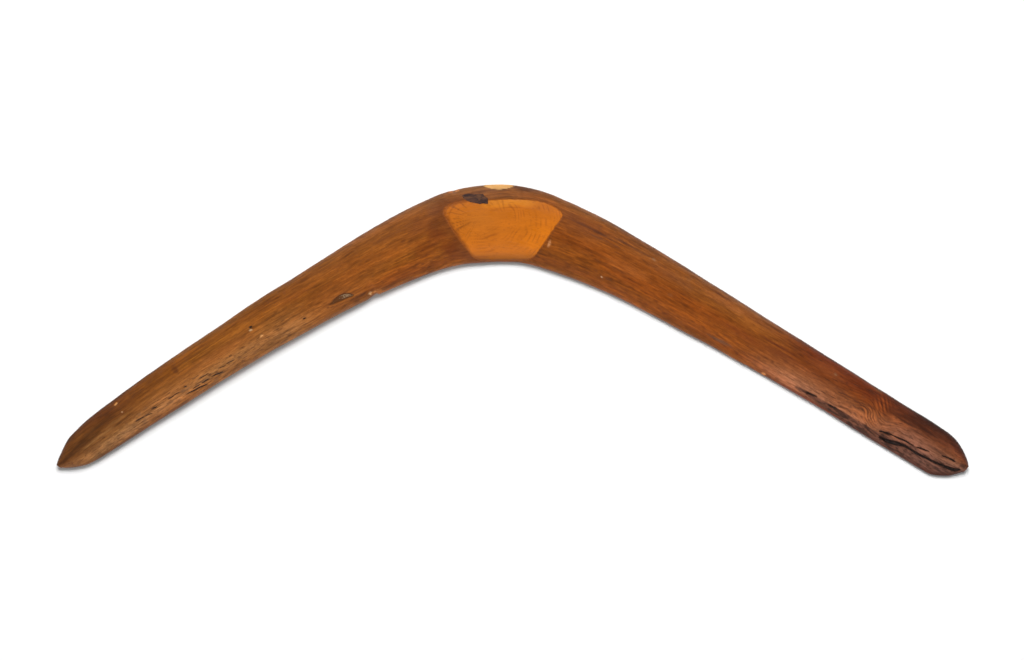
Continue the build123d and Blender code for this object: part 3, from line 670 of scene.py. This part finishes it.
def paint_channels(colour, spots, outward):
    """Dark ragged borders of the channels, and the short pores of the left arm."""
    x, y, along, share, _ = spots
    grain = noise_on(along, outward)
    # runs, display colour, strength, reach outside and inside the channel wall, raggedness
    borders = (
        (VEINS, (30, 18, 14), 0.90, 0.55, -0.05, 0.30 * grain(2.2, 0.7, seed=92, octaves=2)),
        (PORES, (66, 42, 26), 0.50, 0.35, -0.10, 0.28 * grain(1.8, 0.6, seed=93, octaves=2)),
        ([GALLERY], (58, 32, 15), 0.55 + 0.25 * ease(-104, -99, x), 0.9, 0.15,
         0.35 * noise(x / 1.4, y / 1.4, seed=97, octaves=2)))
    for runs, dark, strength, outside, inside, ragged in borders:
        for run in runs:
            distance, wide = to_run(x, y, run)
            edge = ease(wide / 2 + outside, wide / 2 + inside, distance + ragged)
            colour = tint(colour, dark, strength * edge)
    where = between(0.52, 0.66, 0.90, 0.985, share) * between(40, 60, 120, 175, along)
    torn = noise(along / 5.5, -outward / 0.9, seed=14)     # the same noise as the hollows
    return tint(colour, (84, 62, 46), 0.5 * ease(0.42, 0.8, torn) * where)


def paint_window_bed(colour, x, y):
    """The worn border of the window and its floor. Gives the colour, border and floor."""
    depth = inside_depth(x, y, WINDOW_LINE)
    broad = between(-10, -0.5, -0.5, 0.8, depth) * ease(0, -20, x + 0.5 * y)
    colour = tint(colour, (98, 50, 19), 0.72 * broad)
    narrow = between(-2.2, -0.4, -0.5, 0.8, depth)
    colour = tint(colour, (96, 52, 22), 0.35 * narrow)
    soft = 0.35 + 1.3 * ease(-4, -26, x)
    floor = ease(-soft, soft * 0.5, depth)
    return tint(colour, (150, 80, 28), floor), broad + 0.5 * narrow, floor


def paint(spots):
    """Colour, roughness shift, strength of the grain, strength of the pits and the ring field."""
    x, y, along, share, width = spots
    outward = (0.5 - share) * width
    ring = ring_field(along, outward)
    char = char_mask(spots)
    colour = paint_stain_and_sheen(spots, outward, ring)
    colour = paint_knot(colour, spots, outward, ring)
    colour = paint_marks(colour, spots, outward)
    colour = paint_char(colour, spots, outward, ring, char)
    colour = paint_channels(colour, spots, outward)
    colour, border, floor = paint_window_bed(colour, x, y)
    # bare wood where the outside of the elbow was shaved
    cut = section_height(along, share) - wedge_plane(x, y, share)
    bare = ease(-0.05, 0.25, cut)
    wood = shade(linear((212, 157, 90)), 1 + 0.16 * noise(along / 9, ring / 0.7, seed=95, octaves=2))
    colour = blend(colour, wood, bare)
    colour = tint(colour, (92, 56, 34), 0.5 * ease(-0.55, -0.05, cut) * (1 - bare))
    rough = 0.06 * noise(x / 9, y / 9, seed=96) + 0.16 * char + 0.2 * bare - 0.05 * border
    shown = np.clip(1 - 0.75 * bare - 0.6 * floor, 0, 1)
    pits = (0.22 + 0.70 * ease(0.50, 0.64, share) * ease(215, 165, along)
            + 0.90 * ease(535, 600, along))
    pits = np.clip(pits * shown - 0.2 * between(265, 300, 380, 420, along), 0, 1)
    return np.clip(colour, 0.002, 0.9), rough, shown, pits, ring


def paint_underside(x, y, along, share, inward):
    """The same stain, with rubbed patches, dark streaks and dark tips."""
    grain = noise_on(along, inward)
    colour = tint(linear((122, 66, 28)), (98, 48, 22), ease(330, 640, along))
    band = (0.20 * grain(50, 3.4, seed=103, octaves=2) + 0.10 * grain(16, 0.9, seed=104, octaves=2)
            + 0.08 * noise(x / 15, y / 15, seed=105))
    colour = shade(colour, 1 + band)
    rub = grain(26, 7, seed=106, octaves=3) + 0.35 * np.abs(2 * share - 1) ** 6
    colour = tint(colour, (160, 98, 50), 0.45 * ease(0.35, 0.75, rub))
    streak = grain(22, 1.1, seed=107, octaves=2)
    colour = tint(colour, (70, 36, 20), 0.55 * ease(0.45, 0.8, streak))
    return tint(colour, (60, 30, 17), 0.5 * ease(52, 0, np.minimum(along, LENGTH - along)))


# ------------------------------------------------------------------ meshes
def face_out(data):
    """Turns the faces of every closed shell outwards, by the sign of its volume."""
    work = bmesh.new()
    work.from_mesh(data)
    bmesh.ops.recalc_face_normals(work, faces=work.faces)
    seen = set()
    for first in work.faces:
        if first in seen:
            continue
        seen.add(first)
        shell, queue = [], [first]
        while queue:
            face = queue.pop()
            shell.append(face)
            for edge in face.edges:
                for other in edge.link_faces:
                    if other not in seen:
                        seen.add(other)
                        queue.append(other)
        origin = first.verts[0].co.copy()
        volume = 0.0
        for face in shell:
            corners = [vert.co - origin for vert in face.verts]
            for k in range(1, len(corners) - 1):
                volume += corners[0].dot(corners[k].cross(corners[k + 1]))
        if volume < 0:
            bmesh.ops.reverse_faces(work, faces=shell)
    work.to_mesh(data)
    work.free()


# numbers per point: attribute type and the field that holds them
ATTRIBUTE_KINDS = {1: ("FLOAT", "value"), 3: ("FLOAT_VECTOR", "vector"),
                   4: ("FLOAT_COLOR", "color")}


def add_mesh(name, verts, faces, attributes):
    """Smooth-shaded object from millimetre points, with attributes on its points."""
    data = bpy.data.meshes.new(name)
    data.from_pydata((verts * 0.001).tolist(), [], faces)
    data.update()
    face_out(data)
    for key, values in attributes.items():
        kind, field = ATTRIBUTE_KINDS[1 if values.ndim == 1 else values.shape[1]]
        attribute = data.attributes.new(key, kind, "POINT")
        flat = np.ascontiguousarray(values, np.float32).ravel()
        attribute.data.foreach_set(field, flat)
    data.polygons.foreach_set("use_smooth", [True] * len(data.polygons))
    piece = bpy.data.objects.new(name, data)
    bpy.context.scene.collection.objects.link(piece)
    return piece


def ring_faces(rows, columns):
    """Quads between closed rings of points."""
    start = np.arange(rows - 1)[:, None] * columns
    here = start + np.arange(columns)
    following = start + (np.arange(columns) + 1) % columns
    quads = np.stack([here, here + columns, following + columns, following], -1)
    return quads.reshape(-1, 4).tolist()


def with_alpha(colour):
    return np.concatenate([colour, np.ones(colour.shape[:-1] + (1,))], -1)


# ------------------------------------------------------------------ timber
def stations():
    """Distances along the blade of its cross-sections, close together at the tips."""
    tip_length, first = 14, 0.12
    body = np.linspace(tip_length, LENGTH - tip_length, 870)
    tip = np.maximum(tip_length * np.linspace(0, 1, 34)[:-1] ** 1.5, first)
    return np.unique(np.round(np.concatenate([tip, body, (LENGTH - tip)[::-1]]), 4))


def build_timber():
    """The body. Each section runs over the dome, down the inner side, back under, and up."""
    along = stations()
    count = len(along)
    outer, inner = edges(along)
    width = np.hypot(*(inner - outer))[:, None]
    unit = (inner - outer) / width[:, 0]
    _, _, rim_out, _, rim_in, _ = profile(along)
    tuck_out = np.minimum(0.3 * rim_out[:, None], 0.12 * width)
    tuck_in = np.minimum(0.3 * rim_in[:, None], 0.12 * width)
    top_share = np.concatenate([[0, 0.0025, 0.008, 0.0145], np.linspace(0.022, 0.978, 66),
                                [0.9855, 0.992, 0.9975, 1]])
    # the sides go from the rim down: how far tucked in, share of the rim height, painted shade that
    # darkens them towards the floor
    side_tuck = np.array([0.02, 0.20, 0.55])
    side_height = np.array([0.80, 0.48, 0.16])
    side_painted_shade = np.array([0.95, 0.85, 0.75])[:, None]

    low_reach = tuck_out + (width - tuck_out - tuck_in) * np.linspace(1, 0, 14)
    reach = np.concatenate([width * top_share, width - tuck_in * side_tuck, low_reach,
                            tuck_out * side_tuck[::-1]], 1)
    x, y = outer[:, :, None] + unit[:, :, None] * reach
    columns = reach.shape[1]
    top_count, low_start = len(top_share), len(top_share) + 3

    shape = (count, top_count)
    spots = [np.broadcast_to(values, shape).ravel() for values in (
        x[:, :top_count], y[:, :top_count], along[:, None], top_share, width)]
    top = top_surface(spots).reshape(shape)
    top = np.maximum(top, 0.35 * np.minimum(rim_out, rim_in)[:, None])
    colour, rough, shown, pits, ring = [
        values.reshape(shape + values.shape[1:]) for values in paint(spots)]

    # planed underside: long plane strokes and a few rasp scores, never below the floor
    low_along = np.broadcast_to(along[:, None], low_reach.shape)
    inward = low_reach - width / 2
    low = 0.05 + 0.05 * noise(low_along / 60, inward / 6, seed=101)
    low = np.maximum(low + 0.035 * noise(low_along / 3, inward / 9, seed=102), 0.0)
    low[:, 0] = low[:, -1] = 0.04
    z = np.concatenate([top, top[:, -1:] * side_height, low, top[:, :1] * side_height[::-1]], 1)
    rings = np.stack([x, y, z], -1)

    low_part = slice(low_start, low_start + low_reach.shape[1])
    low_colour = paint_underside(x[:, low_part], y[:, low_part], low_along,
                                 low_reach / width, inward)
    # the sides take the colour of the dome's edge with painted shade, darker towards the floor
    colour = np.concatenate([colour, colour[:, -1:] * side_painted_shade, low_colour,
                             colour[:, :1] * side_painted_shade[::-1]], 1)

    def around(top_values, sides, under):
        """Values over the dome, continued by one number on the sides and one underneath."""
        side = np.full((count, 3), sides)
        return np.concatenate([top_values, side, np.full(low.shape, under), side], 1)

    side_ring = np.array([0.7, 1.5, 2.2])
    ring = np.concatenate([ring, ring[:, -1:] - side_ring, -inward,
                           ring[:, :1] + side_ring[::-1]], 1)
    grain_along = along[:, None] + around(np.zeros(shape), 0.0, 31.0)

    faces = ring_faces(count, columns)
    for end, row in enumerate((0, count - 1)):
        centre = count * columns + end
        for k in range(columns):
            here, following = row * columns + k, row * columns + (k + 1) % columns
            faces.append([centre, following, here] if end else [centre, here, following])
    verts = np.concatenate([rings.reshape(-1, 3), rings[[0, -1]].mean(1)])

    def per_point(values):
        """Values in the order of the points, with those of the two end caps last."""
        return np.concatenate([values.reshape(-1, *values.shape[2:]), values[[0, -1], 0]])

    return add_mesh("boomerang_timber", verts, faces, {
        "Paint": per_point(with_alpha(colour)),
        "Rough": per_point(around(rough, 0.04, 0.08)),
        "Shown": per_point(around(shown, 0.8, 1.0)),
        "Pits": per_point(around(pits, 0.3, 0.6)),
        "Grain": per_point(np.stack([grain_along, ring, z], -1))})


# ------------------------------------------------------------------ films on the dome
def build_film(name, outline, ring_count, design):
    """Closed thin piece over an outline, in rings from the middle to the edge.

    design(height, spots, radius) gives the upper and lower heights and the attributes."""
    count = len(outline)
    centre = outline.mean(0)
    radii = np.linspace(0, 1, ring_count + 1)[1:]
    points = centre + (outline - centre)[None] * radii[:, None, None]
    points = np.concatenate([[centre], points.reshape(-1, 2)])
    height, spots = surface_at(*points.T)
    top, low, attributes = design(height, spots, np.concatenate([[0], np.repeat(radii, count)]))
    total = len(points)
    verts = np.concatenate([np.column_stack([points, top]), np.column_stack([points, low])])
    faces = []
    for k in range(count):
        here, following = 1 + k, 1 + (k + 1) % count
        faces.append([0, here, following])
        faces.append([total, total + following, total + here])
    for row in range(ring_count - 1):
        for k in range(count):
            here, following = 1 + row * count + k, 1 + row * count + (k + 1) % count
            quad = [here, here + count, following + count, following]
            faces.append(quad)
            faces.append([total + quad[i] for i in (0, 3, 2, 1)])
    last = 1 + (ring_count - 1) * count
    for k in range(count):
        here, following = last + k, last + (k + 1) % count
        faces.append([here, total + here, total + following, following])
    x, y = outline.T
    if np.sum(x * np.roll(y, -1) - np.roll(x, -1) * y) < 0:      # a clockwise outline
        faces = [face[::-1] for face in faces]
    attributes = {key: np.concatenate([values, values]) for key, values in attributes.items()}
    return add_mesh(name, verts, faces, attributes)


def film_attributes(spots, colour, rough, shown, pits):
    _, _, along, share, width = spots
    zero = np.zeros(len(along))
    return {"Paint": with_alpha(colour), "Rough": zero + rough, "Shown": zero + shown,
            "Pits": zero + pits, "Grain": np.column_stack([along, (0.5 - share) * width, zero])}


def window_figure(x, y):
    """Ray cracks round the pith and growth-ring lines across the window, each from 0 to 1."""
    dx, dy = x - PITH[0], (y - PITH[1]) * 1.25
    radius = np.hypot(dx, dy)
    angle = np.arctan2(dy, dx)
    left = (ease(0.6, 1.5, np.abs(angle)) * between(2, 6, 15, 25, radius)
            * ease(-1.2, -2.6, np.where(angle > 0, -3.0, angle)))
    spread = (noise(angle * 17, radius / 16, seed=211)
              + 0.35 * noise(angle * 41, radius / 7, seed=212))
    crack = ease(0.60, 0.88, spread + 0.02) * left * 0.8
    warp = radius + 1.6 * noise(x / 8, y / 8, seed=213) + 0.03 * radius * np.sin(3 * angle)
    wave = np.sin(2 * np.pi * warp / 2.9 + 2.2 * noise(radius / 5, angle, seed=214))
    broken = ease(-0.35, 0.5, noise(x / 7, y / 5, seed=215, octaves=2))
    ring = ease(0.25, 0.98, wave) * ease(7, 18, radius) * broken * 0.8
    arc = (np.exp(-((y - 10.2 + 0.009 * (x - 14) ** 2) / 0.35) ** 2)
           * between(-4, 2, 22, 32, x))
    return crack, np.clip(ring + 0.5 * arc, 0, 1)


def build_window():
    line = closed_curve(WINDOW, 220)
    ragged = 0.22 * noise(np.arange(220) / 2.3, 0, seed=201, octaves=2)
    line = push_out(line, ragged * (1 + 2.4 * ease(-6, -26, line[:, 0])))

    def design(height, spots, radius):
        x, y, along, share, width = spots
        plan = noise_on(x, y)
        crack, ring = window_figure(x, y)
        grain = 0.012 * noise(along / 7, (share - 0.5) * width / 0.8, seed=203)
        top = height - 0.15 * ease(-26, 6, x) + 0.03 * plan(5, 5, seed=202, octaves=2) + grain
        top = top - 0.05 * crack - 0.05 * ease(0.985, 1.0, radius)

        bright = ease(8.0, 12.5, y - 0.05 * x + 0.6 * plan(6, 6, seed=204))
        amber = tint(linear((181, 99, 20)), (196, 117, 27), bright * between(-12, -2, 20, 38, x))
        amber = tint(amber, (190, 104, 16), 0.8 * ease(10, 28, x) * ease(6, -4, y))
        pith = np.exp(-(((x - PITH[0]) / 15) ** 2 + ((y - PITH[1]) / 10) ** 2))
        amber = tint(amber, (168, 96, 28), 0.75 * pith)
        amber = tint(amber, (134, 75, 18), 0.80 * ease(-18.5, -24.0, y))
        amber = shade(amber, 1 + 0.13 * plan(9, 5, seed=205, octaves=3))
        amber = tint(amber, (128, 64, 15), 0.60 * ring)
        amber = tint(amber, (92, 50, 18), 0.66 * crack)
        # a brown ring of dirt where the varnish meets the stain, broad and soft on the left
        soft = 0.6 + 2.2 * ease(0, -26, x + 0.25 * y)
        depth = inside_depth(x, y, line)
        rim = ease(soft, 0.0, depth + 0.6 * plan(2.2, 2.2, seed=206, octaves=2))
        amber = tint(amber, (126, 66, 20), 0.8 * rim)
        low_edge = ease(1.3, 0.0, y + 24.7 + 0.5 * plan(3, 1.5, seed=209, octaves=2))
        amber = tint(amber, (104, 60, 28), 0.7 * low_edge)
        fleck = ease(0.50, 0.80, plan(1.6, 0.8, seed=207, octaves=2))
        amber = np.clip(tint(amber, (120, 62, 22), 0.4 * fleck), 0.002, 0.9)
        return top, height - WINDOW_DEPTH, film_attributes(
            spots, amber, rough=0.05 * plan(6, 6, seed=208), shown=0.35, pits=0.12)

    return build_film("elbow_window_varnish", line, 88, design)


def build_patch():
    points = []
    for start, end in zip(PATCH, np.roll(PATCH, -1, 0)):
        steps = max(3, int(np.hypot(*(end - start)) / 0.3))
        points += [start + (end - start) * k / steps for k in range(steps)]
    line = np.array(points)
    x, y = line.T
    torn = 0.08 + 0.22 * ease(-8, -15, x) + 0.2 * ease(15.5, 13.5, y)
    line = push_out(line, torn * noise(x / 1.1, y / 1.1, seed=221, octaves=2))

    def design(height, spots, radius):
        x, y = spots[:2]
        plan = noise_on(x, y)
        worn = ease(0.25, 0.6, plan(2.6, 2, seed=223, octaves=2) + 0.35 * ease(-12, -20, x))
        top = height + 0.10 + 0.05 * plan(1.6, 1.6, seed=222, octaves=3)
        top = top - 0.07 * worn - 0.12 * ease(0.93, 1.0, radius)
        dark = plan(4.2, 1.8, seed=224, octaves=2) + 0.25 * ease(-16, -8, x)
        colour = tint(linear((80, 54, 43)), (52, 38, 38), ease(-0.5, 0.6, dark))
        brown = plan(2.8, 1.3, seed=225, octaves=2) + 0.5 * ease(-13, -20, x)
        colour = tint(colour, (106, 70, 46), 0.55 * ease(0.25, 0.7, brown))
        rim = ease(0.88, 0.99, radius) * ease(-13, -8, x)
        colour = tint(colour, (44, 29, 27), 0.55 * rim)
        return top, height - 0.15, film_attributes(spots, colour, rough=0.1, shown=0.6, pits=0.5)

    return build_film("elbow_residue_scrap", line, 22, design)


# ------------------------------------------------------------------ fillings of the channels
# a filling's section: place across it, and whether the point is on its top, side or bottom
TOP, SIDE, BOTTOM = 0, 1, 2
FILL_ACROSS = np.array([-1, -0.96, -0.7, -0.35, 0, 0.35, 0.7, 0.96, 1, 0.62, 0, -0.62])
FILL_PART = np.array([SIDE] + [TOP] * 7 + [SIDE] + [BOTTOM] * 3)


def build_filling(name, runs, below, deep, lumpy, seed, step, tone_shift=None):
    """Closed, lumpy fillings: one string of cross-sections in each channel.

    Its top lies `below` the skin and its bottom `deep` under it; `lumpy` is the lump height."""
    verts, faces, tones = [], [], []
    columns = len(FILL_ACROSS)
    base = 0
    for number, run in enumerate(runs):
        points = np.array(run)
        pieces = np.hypot(*np.diff(points[:, :2], axis=0).T)
        length = np.concatenate([[0], np.cumsum(pieces)])
        count = max(14, int(length[-1] / step))
        at = np.linspace(0, length[-1], count)
        mid_x, mid_y, wide = [curve(length, points[:, k], at) for k in range(3)]
        wide = np.maximum(wide, 0.25) * (1 + 0.22 * noise(at / 1.9, number * 3.3, seed, octaves=2))
        way_x, way_y = np.gradient(mid_x), np.gradient(mid_y)
        norm = np.hypot(way_x, way_y)
        side_x, side_y = -way_y / norm, way_x / norm
        waver = 0.10 * noise(at / 1.5, number * 1.7, seed + 1, octaves=2)
        across = waver[:, None] + FILL_ACROSS * wide[:, None] / 2
        x = mid_x[:, None] + side_x[:, None] * across
        y = mid_y[:, None] + side_y[:, None] * across
        skin_height = surface_at(x.ravel(), y.ravel())[0].reshape(x.shape)
        lump = noise(x / 0.8 + number, y / 0.8, seed + 2, octaves=3)
        domed = 0.16 * FILL_ACROSS ** 2 * np.minimum(wide[:, None], 1.6)
        z = np.where(FILL_PART == TOP, skin_height - below - domed + lumpy * lump,
                     np.where(FILL_PART == SIDE, skin_height - below - 0.45, skin_height - deep))
        verts.append(np.stack([x, y, z], -1).reshape(-1, 3))
        tones.append(lump.ravel())
        faces += [[base + k for k in face][::-1] for face in ring_faces(count, columns)]
        faces.append([base + k for k in range(columns)])
        faces.append([base + (count - 1) * columns + k for k in range(columns)][::-1])
        base += count * columns
    verts, tone = np.concatenate(verts), np.concatenate(tones)
    if tone_shift:
        tone = tone + tone_shift(verts[:, 0], verts[:, 1])
    return add_mesh(name, verts, faces, {"Tone": tone, "Grain": verts})


def dust_tone(x, y):
    """The dust is dark at the left end of the gallery and pale further on."""
    return 1.5 * ease(-103.6, -99.0, x + 0.6 * (y + 50.0)) - 1.1


# ------------------------------------------------------------------ materials
class Shader:
    """Small helper round the node tree of a material or world."""

    def __init__(self, owner, end):
        owner.use_nodes = True
        self.owner = owner
        self.tree = owner.node_tree
        self.end = self.tree.nodes[end]

    def wire(self, node, inputs):
        """Links or sets inputs of a node, by name or number."""
        for key, value in inputs.items():
            if hasattr(value, "is_output"):
                self.tree.links.new(value, node.inputs[key])
            else:
                node.inputs[key].default_value = value

    def node(self, kind, inputs, output=0, **settings):
        node = self.tree.nodes.new(kind)
        for key, value in settings.items():
            setattr(node, key, value)
        self.wire(node, inputs)
        return node.outputs[output]

    def attribute(self, name, output):
        return self.node("ShaderNodeAttribute", {}, output, attribute_name=name)

    def noise(self, vector, scale, detail, rough, shift=(0, 0, 0)):
        """Noise in a coordinate stretched by scale and moved by shift."""
        mapped = self.node("ShaderNodeMapping",
                           {"Vector": vector, "Scale": scale, "Location": shift})
        return self.node("ShaderNodeTexNoise", {
            "Vector": mapped, "Scale": 1, "Detail": detail, "Roughness": rough}, "Fac")

    def math(self, operation, first, second, third=0.0, clamp=False):
        return self.node("ShaderNodeMath", {0: first, 1: second, 2: third},
                         operation=operation, use_clamp=clamp)

    def span(self, value, start, end, low=0.0, high=1.0):
        """Smooth step from low at start to high at end."""
        return self.node("ShaderNodeMapRange", {
            "Value": value, "From Min": start, "From Max": end, "To Min": low, "To Max": high},
            interpolation_type="SMOOTHSTEP")

    def mix(self, first, second, amount, mode="MIX"):
        return self.node("ShaderNodeMix", {0: amount, 6: first, 7: second}, 2,
                         data_type="RGBA", blend_type=mode)

    def bump(self, height, distance, strength):
        return self.node("ShaderNodeBump", {
            "Height": height, "Distance": distance, "Strength": strength})


def new_material(name):
    return Shader(bpy.data.materials.new(name), "Principled BSDF")


def rgba(display):
    return (*linear(display), 1.0)


def wood_material(name, rough, coat, gain, pore_amount, grain_amount):
    """Painted wood: the Paint attribute, varied and pitted along the Grain coordinates."""
    shader = new_material(name)
    math_node, span = shader.math, shader.span
    grain = shader.attribute("Grain", "Vector")
    shown = shader.attribute("Shown", "Fac")
    fibre = shader.noise(grain, (0.085, 0.78, 0.9), detail=4, rough=0.74)
    silk = shader.noise(grain, (0.16, 4.6, 2.0), detail=2, rough=0.6, shift=(3, 7, 1))
    ray = shader.noise(grain, (0.45, 0.85, 0.9), detail=4, rough=0.7, shift=(9, 2, 4))
    pores = shader.noise(grain, (0.17, 1.35, 1.6), detail=1, rough=0.5, shift=(1, 5, 8))
    pit_strength = math_node("MULTIPLY", shader.attribute("Pits", "Fac"), 0.62 * pore_amount)
    pore = math_node("MULTIPLY", span(pores, 0.63, 0.72), pit_strength)
    pricks = shader.noise(grain, (0.30, 3.1, 3.0), detail=1, rough=0.5, shift=(2, 8, 6))
    prick = math_node("MULTIPLY", span(pricks, 0.62, 0.72), math_node("MULTIPLY", shown, 0.34))
    pore = math_node("ADD", pore, prick, clamp=True)
    thin = shader.noise(grain, (0.05, 1.9, 1.6), detail=3, rough=0.6, shift=(6, 1, 2))

    tone = None
    for layer, strength in ((fibre, 0.85), (silk, 0.55), (ray, 0.32), (thin, 0.50)):
        part = math_node("MULTIPLY", math_node("SUBTRACT", layer, 0.5), strength * grain_amount)
        tone = math_node("ADD", tone, part) if tone else part
    tone = math_node("MULTIPLY_ADD", tone, math_node("MULTIPLY_ADD", shown, 0.8, 0.2), gain)
    # a power for each of red, green and blue: dark grain is redder
    powers = {channel: math_node("POWER", math_node("MAXIMUM", tone, 0.05), power)
              for channel, power in enumerate((0.82, 1.0, 1.22))}
    colour = shader.mix(shader.attribute("Paint", "Color"),
                        shader.node("ShaderNodeCombineColor", powers), 1.0, mode="MULTIPLY")

    roughness = math_node("ADD", shader.attribute("Rough", "Fac"),
                          span(silk, 0.3, 0.7, rough - 0.05, rough + 0.07))
    height = math_node("ADD", math_node("MULTIPLY", fibre, 0.5),
                       math_node("MULTIPLY", silk, 0.35))
    height = math_node("SUBTRACT", height, math_node("MULTIPLY", pore, 1.1))
    shader.wire(shader.end, {
        "Base Color": shader.mix(colour, rgba((52, 29, 17)), pore),
        "Roughness": math_node("ADD", roughness, math_node("MULTIPLY", pore, 0.25), clamp=True),
        "Specular IOR Level": 0.25,
        "Coat Weight": coat,
        "Coat Roughness": 0.22,
        "Normal": shader.bump(height, distance=0.00016, strength=0.8),
        "Coat Normal": shader.bump(fibre, distance=0.00008, strength=0.6)})
    return shader.owner


def gum_material(name, dark, light, rough):
    """Lumpy filling between two display colours."""
    shader = new_material(name)
    place = shader.attribute("Grain", "Vector")
    lump = shader.noise(place, (1.1, 1.1, 1.1), detail=4, rough=0.6)
    grit = shader.noise(place, (4.5, 4.5, 4.5), detail=2, rough=0.6)
    tone = shader.math("MULTIPLY_ADD", shader.attribute("Tone", "Fac"), 0.25, lump)
    height = shader.math("ADD", lump, shader.math("MULTIPLY", grit, 0.4))
    shader.wire(shader.end, {
        "Base Color": shader.mix(rgba(dark), rgba(light), shader.span(tone, 0.42, 0.78)),
        "Roughness": shader.span(grit, 0.3, 0.7, rough - 0.12, rough + 0.15),
        "Specular IOR Level": 0.4,
        "Normal": shader.bump(height, distance=0.0003, strength=0.9)})
    return shader.owner


# ------------------------------------------------------------------ the pieces
timber = build_timber()
window = build_window()
patch = build_patch()
veins = build_filling("tip_split_gum", VEINS, below=0.16, deep=1.45, lumpy=0.10, seed=301,
                      step=0.35)
pores = build_filling("pore_gum", PORES, below=0.14, deep=0.72, lumpy=0.06, seed=321, step=0.25)
dust = build_filling("gallery_dust", [GALLERY], below=0.30, deep=1.1, lumpy=0.13, seed=341,
                     step=0.25, tone_shift=dust_tone)
WOOD = (timber, window, patch, veins, pores, dust)

MATERIALS = (
    wood_material("stained_hardwood", rough=0.40, coat=0.05, gain=0.95, pore_amount=1.0,
                  grain_amount=1.45),
    wood_material("amber_varnish", rough=0.34, coat=0.12, gain=0.92, pore_amount=0.5,
                  grain_amount=0.7),
    wood_material("dried_residue", rough=0.62, coat=0.0, gain=0.95, pore_amount=0.6,
                  grain_amount=0.6),
    gum_material("black_gum", dark=(17, 11, 10), light=(52, 34, 27), rough=0.52),
    gum_material("pore_gum", dark=(34, 26, 22), light=(72, 58, 48), rough=0.6),
    gum_material("gallery_dust", dark=(84, 50, 24), light=(134, 110, 84), rough=0.9))
# the frame's node and slot for each piece
PLACES = (("timber_body", "timber"), ("window_varnish", "varnish"), ("residue_patch", "residue"),
          ("gum_vein", "gum"), ("gum_flecks", "gum"), ("gallery_fill", "dust"))
for piece, material, (node_name, slot) in zip(WOOD, MATERIALS, PLACES):
    piece.data.materials.append(material)
    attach(piece, "root")
    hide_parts(node_name)

# ------------------------------------------------------------------ stage, in metres
FLOOR_HALF, FLOOR_Z = 4, -0.0001
BACK, FRONT, LOW_FRONT = (0.0, 2.6, 2.5), (0.0, -2.3, 2.0), (0.0, -2.4, 1.5)    # light places
MIDDLE = (0.0, -0.05, 0.0)                                  # what the lights aim at
LIGHT_WIDTH = 3.0
CAMERA_PLACE = (0.01337, -0.07151, 1.619)
scene = bpy.context.scene


def build_floor():
    data = bpy.data.meshes.new("floor")
    corners = [(x * FLOOR_HALF, y * FLOOR_HALF, FLOOR_Z)
               for x, y in ((-1, -1), (1, -1), (1, 1), (-1, 1))]
    data.from_pydata(corners, [], [(0, 1, 2, 3)])
    floor = bpy.data.objects.new("floor", data)
    scene.collection.objects.link(floor)
    paper = new_material("white_paper")
    paper.wire(paper.end, {"Base Color": (0.93, 0.93, 0.93, 1.0), "Roughness": 0.9,
                           "Specular IOR Level": 0.1})
    data.materials.append(paper.owner)
    return floor


def area_light(name, place, depth, power):
    data = bpy.data.lights.new(name, "AREA")
    data.shape = "RECTANGLE"
    data.size, data.size_y, data.energy = LIGHT_WIDTH, depth, power
    light = bpy.data.objects.new(name, data)
    light.location = place
    light.rotation_mode = "QUATERNION"
    light.rotation_quaternion = (Vector(MIDDLE) - Vector(place)).to_track_quat("-Z", "Y")
    scene.collection.objects.link(light)
    return light


def soft_light(name, place, depth, power, group, receivers):
    """Light without reflections that reaches its receivers only."""
    light = area_light(name, place, depth, power)
    light.visible_glossy = False
    collection = bpy.data.collections.new(group)
    for piece in receivers:
        collection.objects.link(piece)
    light.light_linking.receiver_collection = collection


def sheen_light(name, place, power):
    """Gives the wood its low satin sheen, without diffuse light."""
    area_light(name, place, depth=0.9, power=power).visible_diffuse = False


def build_world():
    """A studio with a dark ceiling: reflections find light near the horizon, little overhead."""
    world = bpy.data.worlds.new("studio")
    sky = Shader(world, "Background")
    direction = sky.node("ShaderNodeTexCoord", {}, "Generated")
    upward = sky.node("ShaderNodeSeparateXYZ", {0: direction}, "Z")
    reflected = sky.node("ShaderNodeMapRange", {
        "Value": upward, "From Min": 0.25, "From Max": 0.85, "To Min": 0.16, "To Max": 0.02})
    glossy = sky.node("ShaderNodeLightPath", {}, "Is Glossy Ray")
    diffuse_strength = 0.34
    strength = sky.node("ShaderNodeMix", {0: glossy, 2: diffuse_strength, 3: reflected})
    sky.wire(sky.end, {"Color": (1, 1, 1, 1), "Strength": strength})
    scene.world = world


def build_camera():
    """Looks straight down."""
    data = bpy.data.cameras.new("camera")
    data.lens = 85.0
    data.sensor_width = 36.0
    camera = bpy.data.objects.new("camera", data)
    camera.location = CAMERA_PLACE
    scene.collection.objects.link(camera)
    scene.camera = camera


paper_floor = build_floor()
soft_light("key_on_paper", BACK, depth=1.7, power=196, group="paper_only",
           receivers=[paper_floor])
soft_light("key_on_wood", BACK, depth=1.7, power=118, group="wood_back", receivers=WOOD)
soft_light("fill_on_wood", FRONT, depth=1.8, power=92, group="wood_front", receivers=WOOD)
sheen_light("sheen_back", BACK, power=15)
sheen_light("sheen_front", LOW_FRONT, power=3)
build_world()
scene.view_settings.view_transform = "Standard"
scene.view_settings.look = "None"
build_camera()
